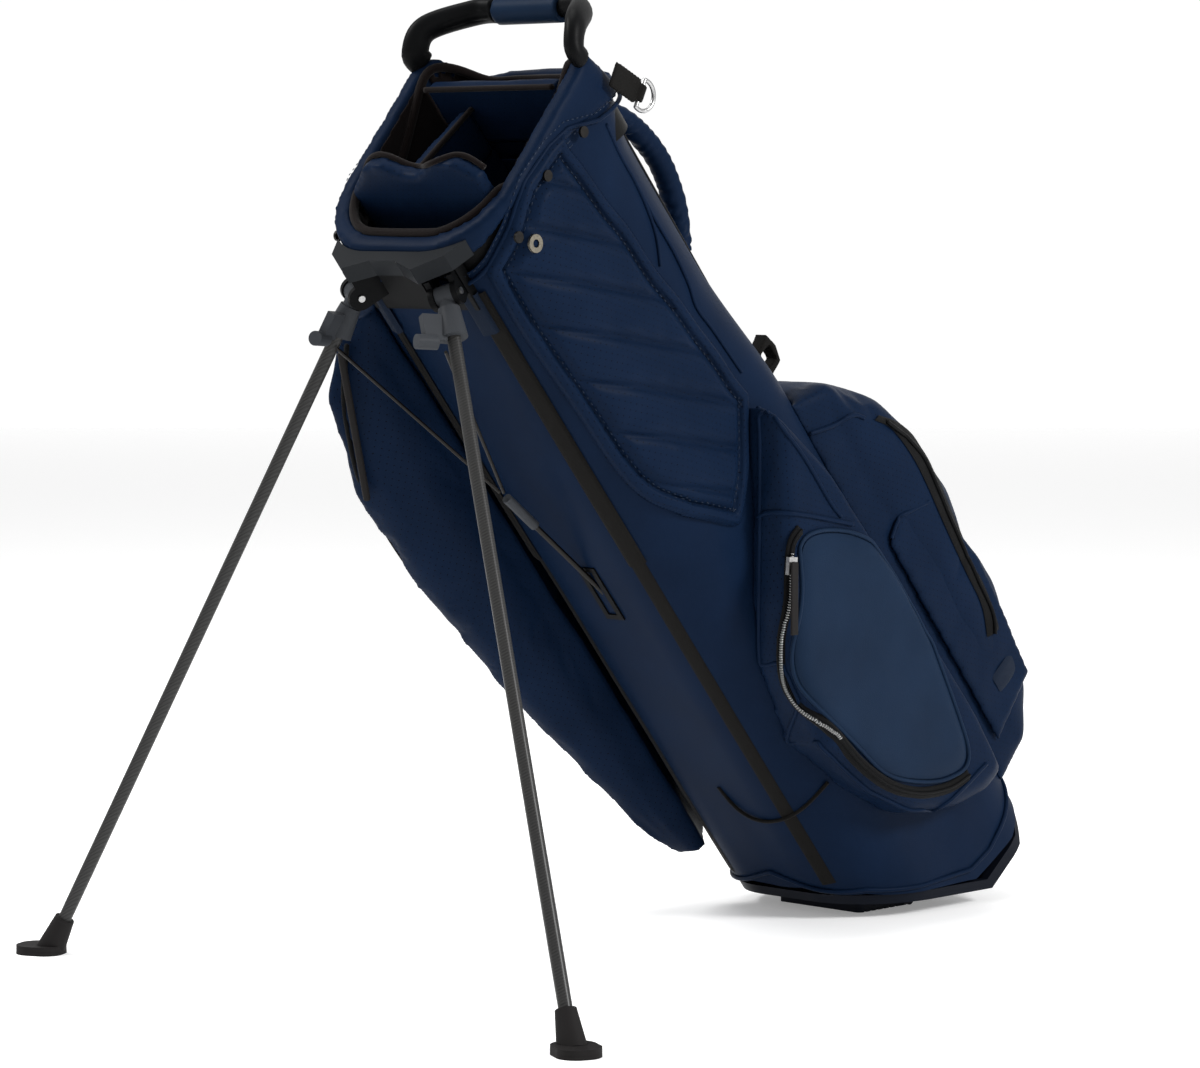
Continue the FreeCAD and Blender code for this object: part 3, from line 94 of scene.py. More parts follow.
def smoothLine(points, count, closed=False):
    # evenly spaced points on a smooth curve through the given ones
    points = [Vector(point) for point in points]
    total = len(points)
    fine = []
    spans = total if closed else total - 1
    for index in range(spans):
        if closed:
            four = [points[(index + step) % total] for step in (-1, 0, 1, 2)]
        else:
            four = [points[min(max(index + step, 0), total - 1)] for step in (-1, 0, 1, 2)]
        for step in range(12):
            k = step / 12
            fine.append(
                0.5 * (2 * four[1] + (four[2] - four[0]) * k
                       + (2 * four[0] - 5 * four[1] + 4 * four[2] - four[3]) * k * k
                       + (3 * four[1] - four[0] - 3 * four[2] + four[3]) * k * k * k)
            )
    fine.append(points[0].copy() if closed else points[-1].copy())
    lengths = [0.0]
    for first, last in zip(fine, fine[1:]):
        lengths.append(lengths[-1] + (last - first).length)
    result, at = [], 0
    steps = count if closed else count - 1
    for index in range(count):
        want = lengths[-1] * index / steps
        while at < len(fine) - 2 and lengths[at + 1] < want:
            at += 1
        gap = lengths[at + 1] - lengths[at]
        result.append(fine[at].lerp(fine[at + 1], (want - lengths[at]) / gap if gap else 0.0))
    return result


class Expr:
    # a shader value that takes Python's operators
    def __init__(self, shader, socket):
        self.shader = shader
        self.socket = socket

    def math(self, operation, *values):
        inputs = {str(index): value for index, value in enumerate(values)}
        return self.shader.node("Math", dict(operation=operation), **inputs)

    def __add__(self, other):
        return self.math("ADD", self, other)

    __radd__ = __add__

    def __mul__(self, other):
        return self.math("MULTIPLY", self, other)

    __rmul__ = __mul__

    def __sub__(self, other):
        return self.math("SUBTRACT", self, other)

    def __rsub__(self, other):
        return self.math("SUBTRACT", other, self)

    def __truediv__(self, other):
        return self.math("DIVIDE", self, other)

    def __lt__(self, other):
        return self.math("LESS_THAN", self, other)

    def fold(self, period):
        # distance from the middle of each repeat
        return self.math("ABSOLUTE", self.math("FRACT", self / period) - 0.5) * period

    def power(self, exponent):
        return self.math("POWER", self, exponent)


class Finish:
    def __init__(self, name, color, roughness, metallic=0.0, coat=0.0, sheen=0.0, specular=0.5):
        self.material = bpy.data.materials.new(name)
        self.material.use_nodes = True
        self.tree = self.material.node_tree
        self.shader = self.tree.nodes["Principled BSDF"]
        self.color = color
        settings = dict(Roughness=roughness, Metallic=metallic)
        settings["Base Color"] = (*color, 1)
        settings["Coat Weight"] = coat
        settings["Coat Roughness"] = 0.25
        settings["Sheen Weight"] = sheen
        settings["Specular IOR Level"] = specular
        for socket, value in settings.items():
            self.shader.inputs[socket].default_value = value

    def node(self, kind, settings=None, output=0, **inputs):
        made = self.tree.nodes.new("ShaderNode" + kind)
        for name, value in (settings or {}).items():
            setattr(made, name, value)
        for name, value in inputs.items():
            socket = made.inputs[int(name)] if name.isdigit() else made.inputs[name]
            if isinstance(value, Expr):
                self.tree.links.new(value.socket, socket)
            else:
                socket.default_value = value
        return Expr(self, made.outputs[output])

    def coordinates(self, output="Object"):
        return self.node("TexCoord", output=output)

    def parts(self, vector):
        split = self.node("SeparateXYZ", Vector=vector)
        return [Expr(self, socket) for socket in split.socket.node.outputs]

    def noise(self, vector, scale, detail=2.0, roughness=0.5):
        return self.node("TexNoise", Vector=vector, Scale=scale, Detail=detail, Roughness=roughness)

    def blend(self, factor, first, second):
        return self.node("Mix", dict(data_type="RGBA"), output=2,
                         **{"0": factor, "6": first, "7": second})

    def tone(self, factor, low=0.8, high=1.2):
        # the base colour between a darker and a lighter version
        dark = (*[channel * low for channel in self.color], 1)
        light = (*[channel * high for channel in self.color], 1)
        return self.blend(factor, dark, light)

    def feed(self, socket, value):
        self.tree.links.new(value.socket, self.shader.inputs[socket])

    def bump(self, height, strength, distance):
        self.feed("Normal", self.node("Bump", Height=height, Strength=strength, Distance=distance))

    def holes(self, across, along, pitch, row, size):
        # two staggered rows of small round dots
        def lattice(shiftAcross, shiftAlong):
            x = (across + shiftAcross).fold(pitch).power(2.0)
            y = (along + shiftAlong).fold(row * 2).power(2.0)
            return (x + y).power(0.5) < size
        return lattice(0.0, 0.0) + lattice(pitch / 2, row)


navy = (0.0036, 0.0098, 0.0265)
perforation = dict(pitch=0.0070, row=0.0050, size=0.00052)


def leather(name, perforated=False, color=navy, roughness=0.43):
    finish = Finish(name, color, roughness, specular=0.025)
    place = finish.coordinates()
    grain = finish.noise(place, 1100.0, 3.0)
    patch = finish.noise(place, 16.0, 3.0)
    cells = finish.node("TexVoronoi", dict(feature="DISTANCE_TO_EDGE"), Vector=place, Scale=600.0)
    height = grain * 0.5 + cells
    shade = finish.tone(patch, 0.75, 1.25)
    if perforated:
        across, along, _ = finish.parts(finish.coordinates("UV"))
        dots = finish.holes(across, along, **perforation)
        shade = finish.blend(dots, shade, (0.0010, 0.0016, 0.0035, 1))
        height = height - dots * 5.0
    finish.feed("Base Color", shade)
    finish.feed("Roughness", grain * 0.08 + patch * 0.08 + (roughness - 0.08))
    finish.bump(height, 0.3, 0.0004)
    return finish.material


def cloth(name, color, scale, roughness=0.85, sheen=0.3, strength=0.5):
    finish = Finish(name, color, roughness, sheen=sheen, specular=0.08)
    place = finish.coordinates()
    fuzz = finish.noise(place, scale, 4.0, 0.7)
    patch = finish.noise(place, 25.0, 3.0)
    finish.feed("Base Color", finish.tone(patch * 0.6 + fuzz * 0.4, 0.6, 1.5))
    finish.bump(fuzz, strength, 0.0008)
    return finish.material


def woven(name, color, pitch=0.0016):
    finish = Finish(name, color, 0.75, sheen=0.02, specular=0.10)
    across, along, _ = finish.parts(finish.coordinates("UV"))
    weave = (across + along).fold(pitch) * 600.0 + (across - along).fold(pitch) * 600.0
    finish.feed("Base Color", finish.tone(weave, 0.7, 1.4))
    finish.bump(weave, 0.6, 0.0005)
    return finish.material


def moulded(name, color, roughness=0.5, grain=700.0, coat=0.0):
    finish = Finish(name, color, roughness, coat=coat, specular=0.06)
    speck = finish.noise(finish.coordinates(), grain, 2.0)
    finish.feed("Roughness", speck * 0.14 + (roughness - 0.07))
    finish.bump(speck, 0.12, 0.0002)
    return finish.material


def metal(name, color, roughness):
    finish = Finish(name, color, roughness, metallic=1.0)
    speck = finish.noise(finish.coordinates(), 300.0, 3.0)
    finish.feed("Roughness", speck * 0.2 + (roughness - 0.1))
    finish.feed("Base Color", finish.tone(speck, 0.8, 1.15))
    return finish.material


def twill(name):
    finish = Finish(name, (0.0250, 0.0248, 0.0245), 0.36, coat=0.08, specular=0.12)
    x, y, z = finish.parts(finish.coordinates())
    weave = (z + y * 0.7).fold(0.0030) * 500.0 + (z - x * 0.9).fold(0.0022) * 350.0
    finish.feed("Base Color", finish.tone(weave, 0.55, 1.5))
    finish.feed("Roughness", weave * 0.12 + 0.27)
    return finish.material


finishes = dict(
    plain=leather("navyLeather"),
    holes=leather("perforatedNavyLeather", True),
    bright=leather("panelLeather", color=(0.0075, 0.0165, 0.0360), roughness=0.40),
    velour=cloth("brownVelour", (0.0045, 0.0026, 0.0024), 1500.0, 0.95, 0.06),
    lining=cloth("liningFabric", (0.0040, 0.0060, 0.0100), 900.0, 0.85, 0.05),
    webbing=woven("blackWebbing", (0.0028, 0.0024, 0.0020)),
    navyWeb=woven("navyWebbing", (0.0036, 0.0085, 0.0200)),
    zipTape=woven("zipTape", (0.0016, 0.0017, 0.0020), 0.0011),
    black=moulded("blackPlastic", (0.0028, 0.0030, 0.0034), 0.46),
    band=moulded("baseBandPlastic", (0.0040, 0.0055, 0.0100), 0.45, 500.0),
    grey=moulded("greyPlastic", (0.036, 0.039, 0.044), 0.42),
    visor=moulded("visorPlastic", (0.010, 0.0115, 0.0135), 0.36, 900.0, coat=0.02),
    carbon=twill("carbonTube"),
    rubber=moulded("blackRubber", (0.013, 0.0120, 0.0120), 0.62, 400.0),
    darkMetal=metal("darkMetal", (0.022, 0.021, 0.020), 0.42),
    steel=metal("steel", (0.42, 0.42, 0.42), 0.32),
    brass=metal("agedBrass", (0.22, 0.20, 0.16), 0.38),
    thread=cloth("navyThread", (0.010, 0.019, 0.038), 2000.0, 0.8, 0.1, 0.2),
)
print("materials:", len(finishes))

camera = dict(place=(-3.13678, -2.70733, 0.6776), tilt=4.4138, turn=-45.975, lens=129.435, width=36.0)
eye = Vector(camera["place"])
unlean = leanTurn.inverted()


def boxUv(mesh):
    layer = mesh.uv_layers.new(name="UVMap") if not mesh.uv_layers else mesh.uv_layers[0]
    spots = [unlean @ vertex.co for vertex in mesh.vertices]
    for face in mesh.polygons:
        normal = unlean @ face.normal
        size = [abs(part) for part in normal]
        main = size.index(max(size))
        pick = ((1, 2), (0, 2), (0, 1))[main]
        for loop in face.loop_indices:
            at = spots[mesh.loops[loop].vertex_index]
            layer.data[loop].uv = (at[pick[0]], at[pick[1]])


def finishPiece(bm, name, finish, stands=(), body="bag", uv=None, slot=None):
    mesh = bpy.data.meshes.new(name)
    for face in bm.faces:
        face.smooth = True
    bm.to_mesh(mesh)
    bm.free()
    mesh.materials.append(finishes[finish])
    piece = bpy.data.objects.new(name, mesh)
    bpy.context.scene.collection.objects.link(piece)
    if uv != "own":
        boxUv(mesh)
    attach(piece, body)
    if stands:
        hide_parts(*stands)
    return piece


def smoothed(bm, passes):
    axes = dict(use_axis_x=True, use_axis_y=True, use_axis_z=True)
    for _ in range(passes):
        bmesh.ops.smooth_vert(bm, verts=bm.verts, factor=0.5, **axes)


def gridPiece(name, finish, columns, rows, place, uv=None, closed=False, smooth=0, **more):
    # a sheet over s and t from 0 to 1
    bm = bmesh.new()
    bmesh.ops.create_grid(bm, x_segments=columns, y_segments=rows, size=0.5)
    layer = bm.loops.layers.uv.new("UVMap")
    for face in bm.faces:
        for loop in face.loops:
            s, t = loop.vert.co.x + 0.5, loop.vert.co.y + 0.5
            loop[layer].uv = uv(s, t) if uv else (s, t)
    for vertex in bm.verts:
        vertex.co = place(vertex.co.x + 0.5, vertex.co.y + 0.5)
    if closed:
        bmesh.ops.remove_doubles(bm, verts=bm.verts, dist=0.00005)
    smoothed(bm, smooth)
    bm.normal_update()
    return finishPiece(bm, name, finish, uv="own" if uv else None, **more)


def pipe(name, finish, points, radius, closed=False, sides=8, flat=1.0, **more):
    # a tube along the points, squashed along its second axis where flat is under 1
    count = len(points)
    frames = []
    for index, point in enumerate(points):
        before = points[index - 1] if index or closed else point
        after = points[(index + 1) % count] if index < count - 1 or closed else point
        forward = (after - before).normalized()
        outward = (point - axisPoint(point)).normalized()
        side = forward.cross(outward).normalized()
        frames.append((point, side * radius, side.cross(forward).normalized() * radius * flat))
    rows = count if closed else count - 1
    bm = bmesh.new()
    bmesh.ops.create_grid(bm, x_segments=sides, y_segments=rows, size=0.5)
    for vertex in bm.verts:
        point, side, lift = frames[round((vertex.co.y + 0.5) * rows) % count]
        turn = math.tau * (round((vertex.co.x + 0.5) * sides) % sides) / sides
        vertex.co = point + side * math.cos(turn) + lift * math.sin(turn)
    bmesh.ops.remove_doubles(bm, verts=bm.verts, dist=0.000001)
    if not closed:
        ends = [edge for edge in bm.edges if edge.is_boundary]
        bmesh.ops.holes_fill(bm, edges=ends, sides=sides)
    bmesh.ops.recalc_face_normals(bm, faces=bm.faces)
    return finishPiece(bm, name, finish, **more)


def axisPoint(point):
    # the nearest point on the bag's own axis
    u = (unlean @ point).z
    return spot(bag["axis"], 0.0, u)


def softCopy(node, name, finish, voxel=0.004, smooth=2, shape=None, slot=None, body="bag", stands=None):
    # a fine even mesh grown from the hard model's piece, then shaped
    source = nodes[node]
    mesh = source.data.copy()
    worker = bpy.data.objects.new("worker", mesh)
    bpy.context.scene.collection.objects.link(worker)
    bm = bmesh.new()
    bm.from_mesh(mesh)
    bmesh.ops.remove_doubles(bm, verts=bm.verts, dist=0.00002)
    bm.to_mesh(mesh)
    bm.free()
    remesh = worker.modifiers.new("remesh", "REMESH")
    remesh.mode = "VOXEL"
    remesh.voxel_size = voxel
    graph = bpy.context.evaluated_depsgraph_get()
    fine = bpy.data.meshes.new_from_object(worker.evaluated_get(graph))
    bpy.data.objects.remove(worker)
    bm = bmesh.new()
    bm.from_mesh(fine)
    bpy.data.meshes.remove(fine)
    smoothed(bm, smooth)
    bm.normal_update()
    if shape:
        moves = [(vertex, shape(vertex.co, vertex.normal)) for vertex in bm.verts]
        for vertex, move in moves:
            vertex.co += vertex.normal * move
        bm.normal_update()
    return finishPiece(bm, name, finish, stands=stands or (node,), body=body, slot=slot)


def inflate(piece, pressure, reach, hold):
    # the stuffing pushes the leather out; what is held by a seam or lies on the body stays
    mesh = piece.data
    start = [vertex.co.copy() for vertex in mesh.vertices]
    seam = piece.vertex_groups.new(name="seam")
    for vertex in mesh.vertices:
        if hold(unlean @ vertex.co):
            seam.add([vertex.index], 1.0, "REPLACE")
    pad = piece.modifiers.new("stuffing", "CLOTH")
    pad.settings.quality = 5
    pad.settings.mass = 0.4
    pad.settings.tension_stiffness = 40
    pad.settings.compression_stiffness = 40
    pad.settings.bending_stiffness = 2.0
    pad.settings.use_pressure = True
    pad.settings.uniform_pressure_force = pressure
    pad.settings.vertex_group_mass = "seam"
    pad.settings.effector_weights.gravity = 0
    pad.collision_settings.use_collision = False
    pad.point_cache.frame_start = 1
    pad.point_cache.frame_end = 16
    for step in range(1, 17):
        bpy.context.scene.frame_set(step)
    graph = bpy.context.evaluated_depsgraph_get()
    moved = [vertex.co.copy() for vertex in piece.evaluated_get(graph).data.vertices]
    piece.modifiers.remove(pad)
    bpy.context.scene.frame_set(1)
    for vertex, first, last in zip(mesh.vertices, start, moved):
        shift = last - first
        if shift.length > reach:
            shift *= reach / shift.length
        vertex.co = first + shift
    most = max((vertex.co - first).length for vertex, first in zip(mesh.vertices, start))
    print("stuffed", piece.name, "most", round(most, 4))


def wrinkle(strength, scale=18.0):
    def move(point, normal):
        return strength * noise.noise(point * scale) + 0.4 * strength * noise.noise(point * scale * 2.7)
    return move


trees = {}


def laid(points, piece, lift=0.0):
    # the points carried onto a finished piece along the line of sight
    if piece.name not in trees:
        bm = bmesh.new()
        bm.from_mesh(piece.data)
        trees[piece.name] = BVHTree.FromBMesh(bm)
        bm.free()
    tree = trees[piece.name]
    result = []
    for point in points:
        hit, normal, _, _ = tree.ray_cast(eye, (point - eye).normalized())
        if hit is None:
            hit, normal, _, _ = tree.find_nearest(point)
        result.append(hit + normal * lift)
    return result


def evened(points, passes=2):
    for _ in range(passes):
        points = [points[0]] + [
            (a + b * 2 + c) / 4 for a, b, c in zip(points, points[1:], points[2:])
        ] + [points[-1]]
    return points


def stitches(name, runs, length=0.0035, pitch=0.0055, radius=0.00042, finish="thread"):
    # short thread stitches along each run of (point, outward) pairs
    bm = bmesh.new()
    for run in runs:
        travel = 0.0
        for (first, outward), (second, _) in zip(run, run[1:]):
            span = (second - first).length
            travel += span
            if travel < pitch or span == 0:
                continue
            travel = 0.0
            along = (second - first).normalized()
            side = along.cross(outward).normalized()
            turn = Matrix((along * length / 2, side * radius, outward * radius)).transposed().to_4x4()
            turn.translation = first + outward * radius * 0.5
            bmesh.ops.create_icosphere(bm, subdivisions=1, radius=1.0, matrix=turn)
    bmesh.ops.recalc_face_normals(bm, faces=bm.faces)
    return finishPiece(bm, name, finish, slot="navy_leather")


def scaled(points):
    return [(w / 1000, u / 1000) for w, u in points]


skinBand = dict(columns=260, rows=220, off=0.0008)
bandEdge = [(0.0, 0.0760), (0.035, 0.079), (0.088, 0.058), (0.135, 0.020), (0.201, -0.031),
            (0.266, -0.040), (0.3949, -0.014)]
pipingEdge = [(0.0, 0.0975), (0.030, 0.086), (0.090, 0.063), (0.138, 0.025), (0.199, -0.016),
              (0.231, -0.021), (0.266, -0.015), (0.3949, 0.012)]
seamEdge = [(0.0, 0.846), (0.060, 0.826), (0.0725, 0.829), (0.085, 0.835), (0.099, 0.8455), (0.114, 0.856),
            (0.1295, 0.869), (0.147, 0.878), (0.165, 0.880), (0.190, 0.883), (0.218, 0.880), (0.252, 0.8615),
            (0.300, 0.850), (0.3949, 0.838)]


def along(value, points):
    value = abs(value)
    for (low, first), (high, last) in zip(points, points[1:]):
        if value <= high:
            return mix(first, last, (value - low) / (high - low))
    return points[-1][1]


def tuck(w, u):
    # the fabric draws in behind the flank, under the collar
    return 0.013 * ease(0.215, 0.300, abs(w)) * ease(0.50, 0.66, u) * ease(0.885, 0.80, u)


def skinLift(w, u):
    fold = noise.noise(Vector((w * 9, u * 7, 1.3))) * 0.0016
    fold += noise.noise(Vector((w * 30, u * 14, 4.1))) * 0.0007 * ease(0.55, 0.1, u)
    band = -0.0012 * (1 - ease(0.0, 0.004, u - along(w, pipingEdge)))
    return skinBand["off"] + 0.0018 + fold + band - tuck(w, u)


def skinPlace(s, t):
    w = mix(-wholeRun, wholeRun, s)
    u = mix(along(w, bandEdge), along(w, seamEdge) + 0.008, t)
    return onBag(w, u, skinLift(w, u))


gridPiece(
    "bodySkin", "plain", skinBand["columns"], skinBand["rows"], skinPlace,
    uv=lambda s, t: (mix(-wholeRun, wholeRun, s), t * 0.85),
    closed=True, stands=("body_shell",), slot="navy_leather",
)


def ringPiping(name, edge, lift, radius, count):
    runs = [mix(-wholeRun, wholeRun, index / count) for index in range(count)]
    line = [onBag(w, along(w, edge), lift) for w in runs]
    pipe(name, "plain", line, radius, closed=True, slot="navy_leather")


ringPiping("basePiping", pipingEdge, 0.0025, 0.0022, 220)
ringPiping("collarSeamPiping", seamEdge, 0.0045, 0.0021, 260)
print("body skin done")

rail = dict(front=0.054, back=0.071, top=0.814, bottom=0.497, tab=0.773, columns=12, rows=90, rim=0.12)
seam = dict(lift=0.0030, radius=0.0016)
diagonalSeam = [(261, 850), (261, 821), (262, 787), (257.5, 758), (249, 733), (234, 712)]
flankSeam = [(261.5, 775), (260, 750), (261, 709), (256, 673), (249, 652), (253, 620), (256, 569)]


def railPiece(name, side, finish, low, high, first, last, lift, stands=()):
    def place(s, t):
        w = mix(first, last, s)
        u = mix(low, high, t)
        edge = min(s, 1 - s, rail["rim"]) / rail["rim"]
        return onBag(side * w, u, lift * (0.75 + 1.25 * edge) + skinLift(side * w, u))
    gridPiece(name, finish, rail["columns"], rail["rows"], place,
              uv=lambda s, t: (mix(first, last, s), mix(low, high, t)),
              stands=stands, slot="black_webbing")


def seamPipe(name, side, points, count):
    flatRoute = smoothLine([(w, u, 0) for w, u in scaled(points)], count)
    line = [onBag(side * p.x, p.y, seam["lift"] - tuck(p.x, p.y)) for p in flatRoute]
    pipe(name, "plain", evened(line), seam["radius"], slot="navy_leather")


for side, label in ((1, "near"), (-1, "far")):
    railPiece(f"webbingRail_{label}", side, "webbing", rail["bottom"], rail["top"],
              rail["front"], rail["back"], 0.0016, (f"webbing_rail_{label}",))
    railPiece(f"railTab_{label}", side, "navyWeb", rail["tab"], rail["top"] + 0.002, 0.049, 0.0655, 0.0032)
    railPiece(f"railStripe_{label}", side, "webbing", 0.084, rail["bottom"] + 0.004, 0.055, 0.069, 0.0003)
    seamPipe(f"diagonalSeam_{label}", side, diagonalSeam, 50)
    seamPipe(f"flankSeam_{label}", side, flankSeam, 70)

hip = dict(height=0.0086, border=0.013, groove=0.0066, channel=0.060, slope=1.1, phase=0.0275,
           columns=110, rows=190, corner=(0.1080, 0.5330), stitchDepth=0.0032, stitchWidth=0.0016,
           stitchRows=(0.0108, 0.0152), stitchLift=0.0068, fill=0.8)
hipLeft = scaled([(86, 838), (79.6, 825), (78.8, 768), (81.7, 712.5), (84.7, 665), (86.6, 617), (90.8, 580),
                  (99.7, 552), (117, 523), (137, 496), (160, 470)])
hipRight = scaled([(214, 882), (208, 871), (212, 842), (216, 801), (222, 768), (225, 719), (232, 680),
                   (236, 642), (241, 606), (243, 577), (247.5, 552), (232, 533), (204, 499), (175, 475)])
hipTop = scaled([(86, 838), (99, 847), (114, 858), (129.5, 870), (147, 879), (165, 881), (190, 884),
                 (214, 882)])


def flatLine(points, count):
    return smoothLine([(w, u, 0.0) for w, u in points], count)


def hipPanel(side, label):
    columns, rows = hip["columns"], hip["rows"]
    top = flatLine(hipTop, columns + 1)
    left = flatLine(hipLeft[:9] + [hip["corner"]], rows + 1)
    right = flatLine(hipRight[:11], rows + 1)
    bottom = flatLine([hip["corner"]] + hipLeft[9:] + hipRight[:9:-1], columns + 1)
    outline = [(p.x, p.y) for p in top + right[1:] + bottom[::-1][1:] + left[::-1][1:]]
    segments = list(zip(outline, outline[1:]))

    def inward(w, u):
        nearest = 1.0
        for (aw, au), (bw, bu) in segments[::2]:
            gap = (w - aw) ** 2 + (u - au) ** 2
            if gap < nearest:
                nearest = gap
        return math.sqrt(nearest)

    flats = {}

    def flat(s, t):
        i, j = round(s * columns), round((1 - t) * rows)
        key = (i, j)
        if key not in flats:
            x, y = i / columns, j / rows
            a, b = top[i], bottom[i]
            c, d = left[j], right[j]
            corners = ((1 - x) * (1 - y) * top[0] + x * (1 - y) * top[-1]
                       + (1 - x) * y * bottom[0] + x * y * bottom[-1])
            flats[key] = (1 - y) * a + y * b + (1 - x) * c + x * d - corners
        return flats[key]

    def place(s, t):
        p = flat(s, t)
        w, u = p.x, p.y
        inside = inward(w, u)
        lift = 0.001 + hip["height"] * math.sqrt(ease(-0.001, 0.006, inside))
        stitch = abs(inside - hip["border"])
        lift -= hip["stitchDepth"] * math.exp(-(stitch / hip["stitchWidth"]) ** 2)
        if inside > hip["border"]:
            across = ((u + hip["slope"] * w - hip["phase"]) / hip["channel"]) % 1.0
            reach = abs(across - 0.5) * 2
            rise = (1 - reach ** 4) * ease(0.0, 0.012, inside - hip["border"])
            lift += hip["groove"] * (rise - 0.6)
            lift += 0.0011 * noise.noise(Vector((w * 60, u * 45, side * 3.0))) * rise
        return onBag(side * w, u, lift)

    panel = gridPiece(f"quiltedHipPanel_{label}", "holes", columns, rows, place,
                      uv=lambda s, t: tuple(flat(s, t)[:2]), stands=(f"hip_panel_{label}",),
                      slot="navy_leather")
    runs = []
    ring = [Vector((w, u, 0)) for w, u in outline]
    middle = sum(ring, Vector()) / len(ring)
    for inset in hip["stitchRows"]:
        line = []
        for a, b in zip(ring[::2], ring[2::2] + ring[:1]):
            direction = (b - a).normalized() if (b - a).length else Vector((0, 1, 0))
            normal = Vector((direction.y, -direction.x, 0))
            if normal.dot(middle - a) < 0:
                normal = -normal
            p = a + normal * inset
            out = (onBag(side * p.x, p.y, 0.02) - onBag(side * p.x, p.y, 0)).normalized()
            line.append((onBag(side * p.x, p.y, hip["stitchLift"]), out))
        runs.append(line)
    stitches(f"hipStitches_{label}", runs)


hipPanel(1, "near")
hipPanel(-1, "far")
print("hip panels done")

cuff = softCopy("cuff_cover", "cuffCollar", "plain", 0.0042, 3, wrinkle(0.0012, 16.0), slot="navy_leather")
softCopy("cuff_lining", "cuffLining", "velour", 0.0028, 1, slot="dark_velour")
for node in ("front_divider", "back_divider", "long_divider"):
    divider = softCopy(node, f"padded_{node}", "holes", 0.0034, 3, wrinkle(0.0008, 25.0),
                       slot="navy_leather")
for node in ("front_divider_panel", "back_divider_panel", "long_divider_panel"):
    softCopy(node, f"lined_{node}", "plain", 0.0030, 0, slot="lining_fabric")
print("cuff done")

def gussetFolds(point, normal):
    # long soft folds in the gusset, calmer under the front panel
    at = unlean @ point
    calm = 1 - 0.75 * ease(-0.118, -0.135, at.y)
    fold = noise.noise(Vector((at.x * 26 + at.y * 30, at.z * 9, 2.0)))
    return calm * (0.0034 * fold + 0.0010 * noise.noise(point * 50.0))


sidePocket = softCopy("side_pocket", "sidePocketBody", "holes", 0.0040, 4, gussetFolds, slot="navy_leather")
ballPocket = softCopy("ball_pocket", "ballPocketBody", "holes", 0.0042, 14, wrinkle(0.0018, 16.0),
                      slot="navy_leather")
inflate(ballPocket, 4.0, 0.010, lambda at: at.x < spine + 0.012)
apparelPocket = softCopy("apparel_pocket", "apparelPocketBody", "holes", 0.0030, 3, wrinkle(0.0022, 14.0),
                         slot="navy_leather")
apparel = dict(inner=0.112, front=-0.06, low=0.14, high=0.77)  # where the seams hold it
inflate(apparelPocket, 3.0, 0.006,
        lambda at: (at.y < apparel["inner"] and at.x > apparel["front"]
                    or at.z < apparel["low"] or at.z > apparel["high"]))
slipNear = softCopy("slip_panel_near", "slipPanel_near", "holes", 0.0034, 2, wrinkle(0.0010, 20.0),
                    slot="navy_leather")
softCopy("slip_panel_far", "slipPanel_far", "holes", 0.0034, 2, wrinkle(0.0010, 20.0), slot="navy_leather")


def sightLine(points, y, count, piece, lift=0.0):
    # (v, u) points in millimetres on a plane beside the bag, carried onto the piece by sight
    line = smoothLine([spot(v / 1000, y / 1000, u / 1000) for v, u in points], count)
    return evened(laid(line, piece, lift))


outerEdge = [(106, 565), (88, 536), (46, 484), (3, 433), (-39, 380), (-62, 332), (-53, 271), (-23, 184),
             (0, 145), (30, 113), (68, 91), (130, 79)]
panelEdge = [(57, 429), (74, 429), (97, 413), (122, 385), (141, 347), (145, 305), (141, 257), (134, 215),
             (123, 157), (113, 118), (100, 106), (80, 113), (58, 128), (28, 160), (10, 190), (-1, 235),
             (-19, 311), (-21, 341), (-10, 362), (19, 382), (38, 401)]
zipEdge = [(69, 439), (53, 437), (36, 421), (16, 398), (-11, 377), (-30, 349), (-31, 317), (-16, 270),
           (-6, 216), (11, 170), (37, 134), (71, 107), (99, 96)]
pipe("sidePocketPiping", "plain", sightLine(outerEdge, -138, 160, sidePocket, 0.0006), 0.0021,
     slot="navy_leather")
zipLine = sightLine(zipEdge, -144, 150, sidePocket, 0.0006)
pipe("sideZipTape", "zipTape", zipLine, 0.0058, flat=0.28, stands=("side_pocket_zip",),
     slot="zip_black")
pipe("sideZipCoil", "black", laid(zipLine, sidePocket, 0.0022), 0.0016, slot="zip_black")


def fanPiece(name, finish, edge, y, base, lift, border, **more):
    # a padded panel inside a closed line, domed a little
    rings, count = 26, 150
    outline = smoothLine([spot(v / 1000, y / 1000, u / 1000) for v, u in edge], count, closed=True)
    middle = sum(outline, Vector()) / count

    def place(s, t):
        if t == 0:
            return laid([middle], base, lift)[0]
        point = middle.lerp(outline[round(s * count) % count], t)
        rise = lift * math.sqrt(ease(1.0, 1 - border, t)) if t > 1 - border else lift
        return laid([point], base, rise)[0]

    gridPiece(name, finish, count, rings, place, closed=True, **more)
    return laid(outline, base, 0.0012)


panelRing = fanPiece("sidePocketPanel", "bright", panelEdge, -146, sidePocket, 0.0034, 0.10, smooth=5,
                            slot="navy_leather")
pipe("sidePanelPiping", "bright", evened(panelRing), 0.0020, closed=True, slot="navy_leather")

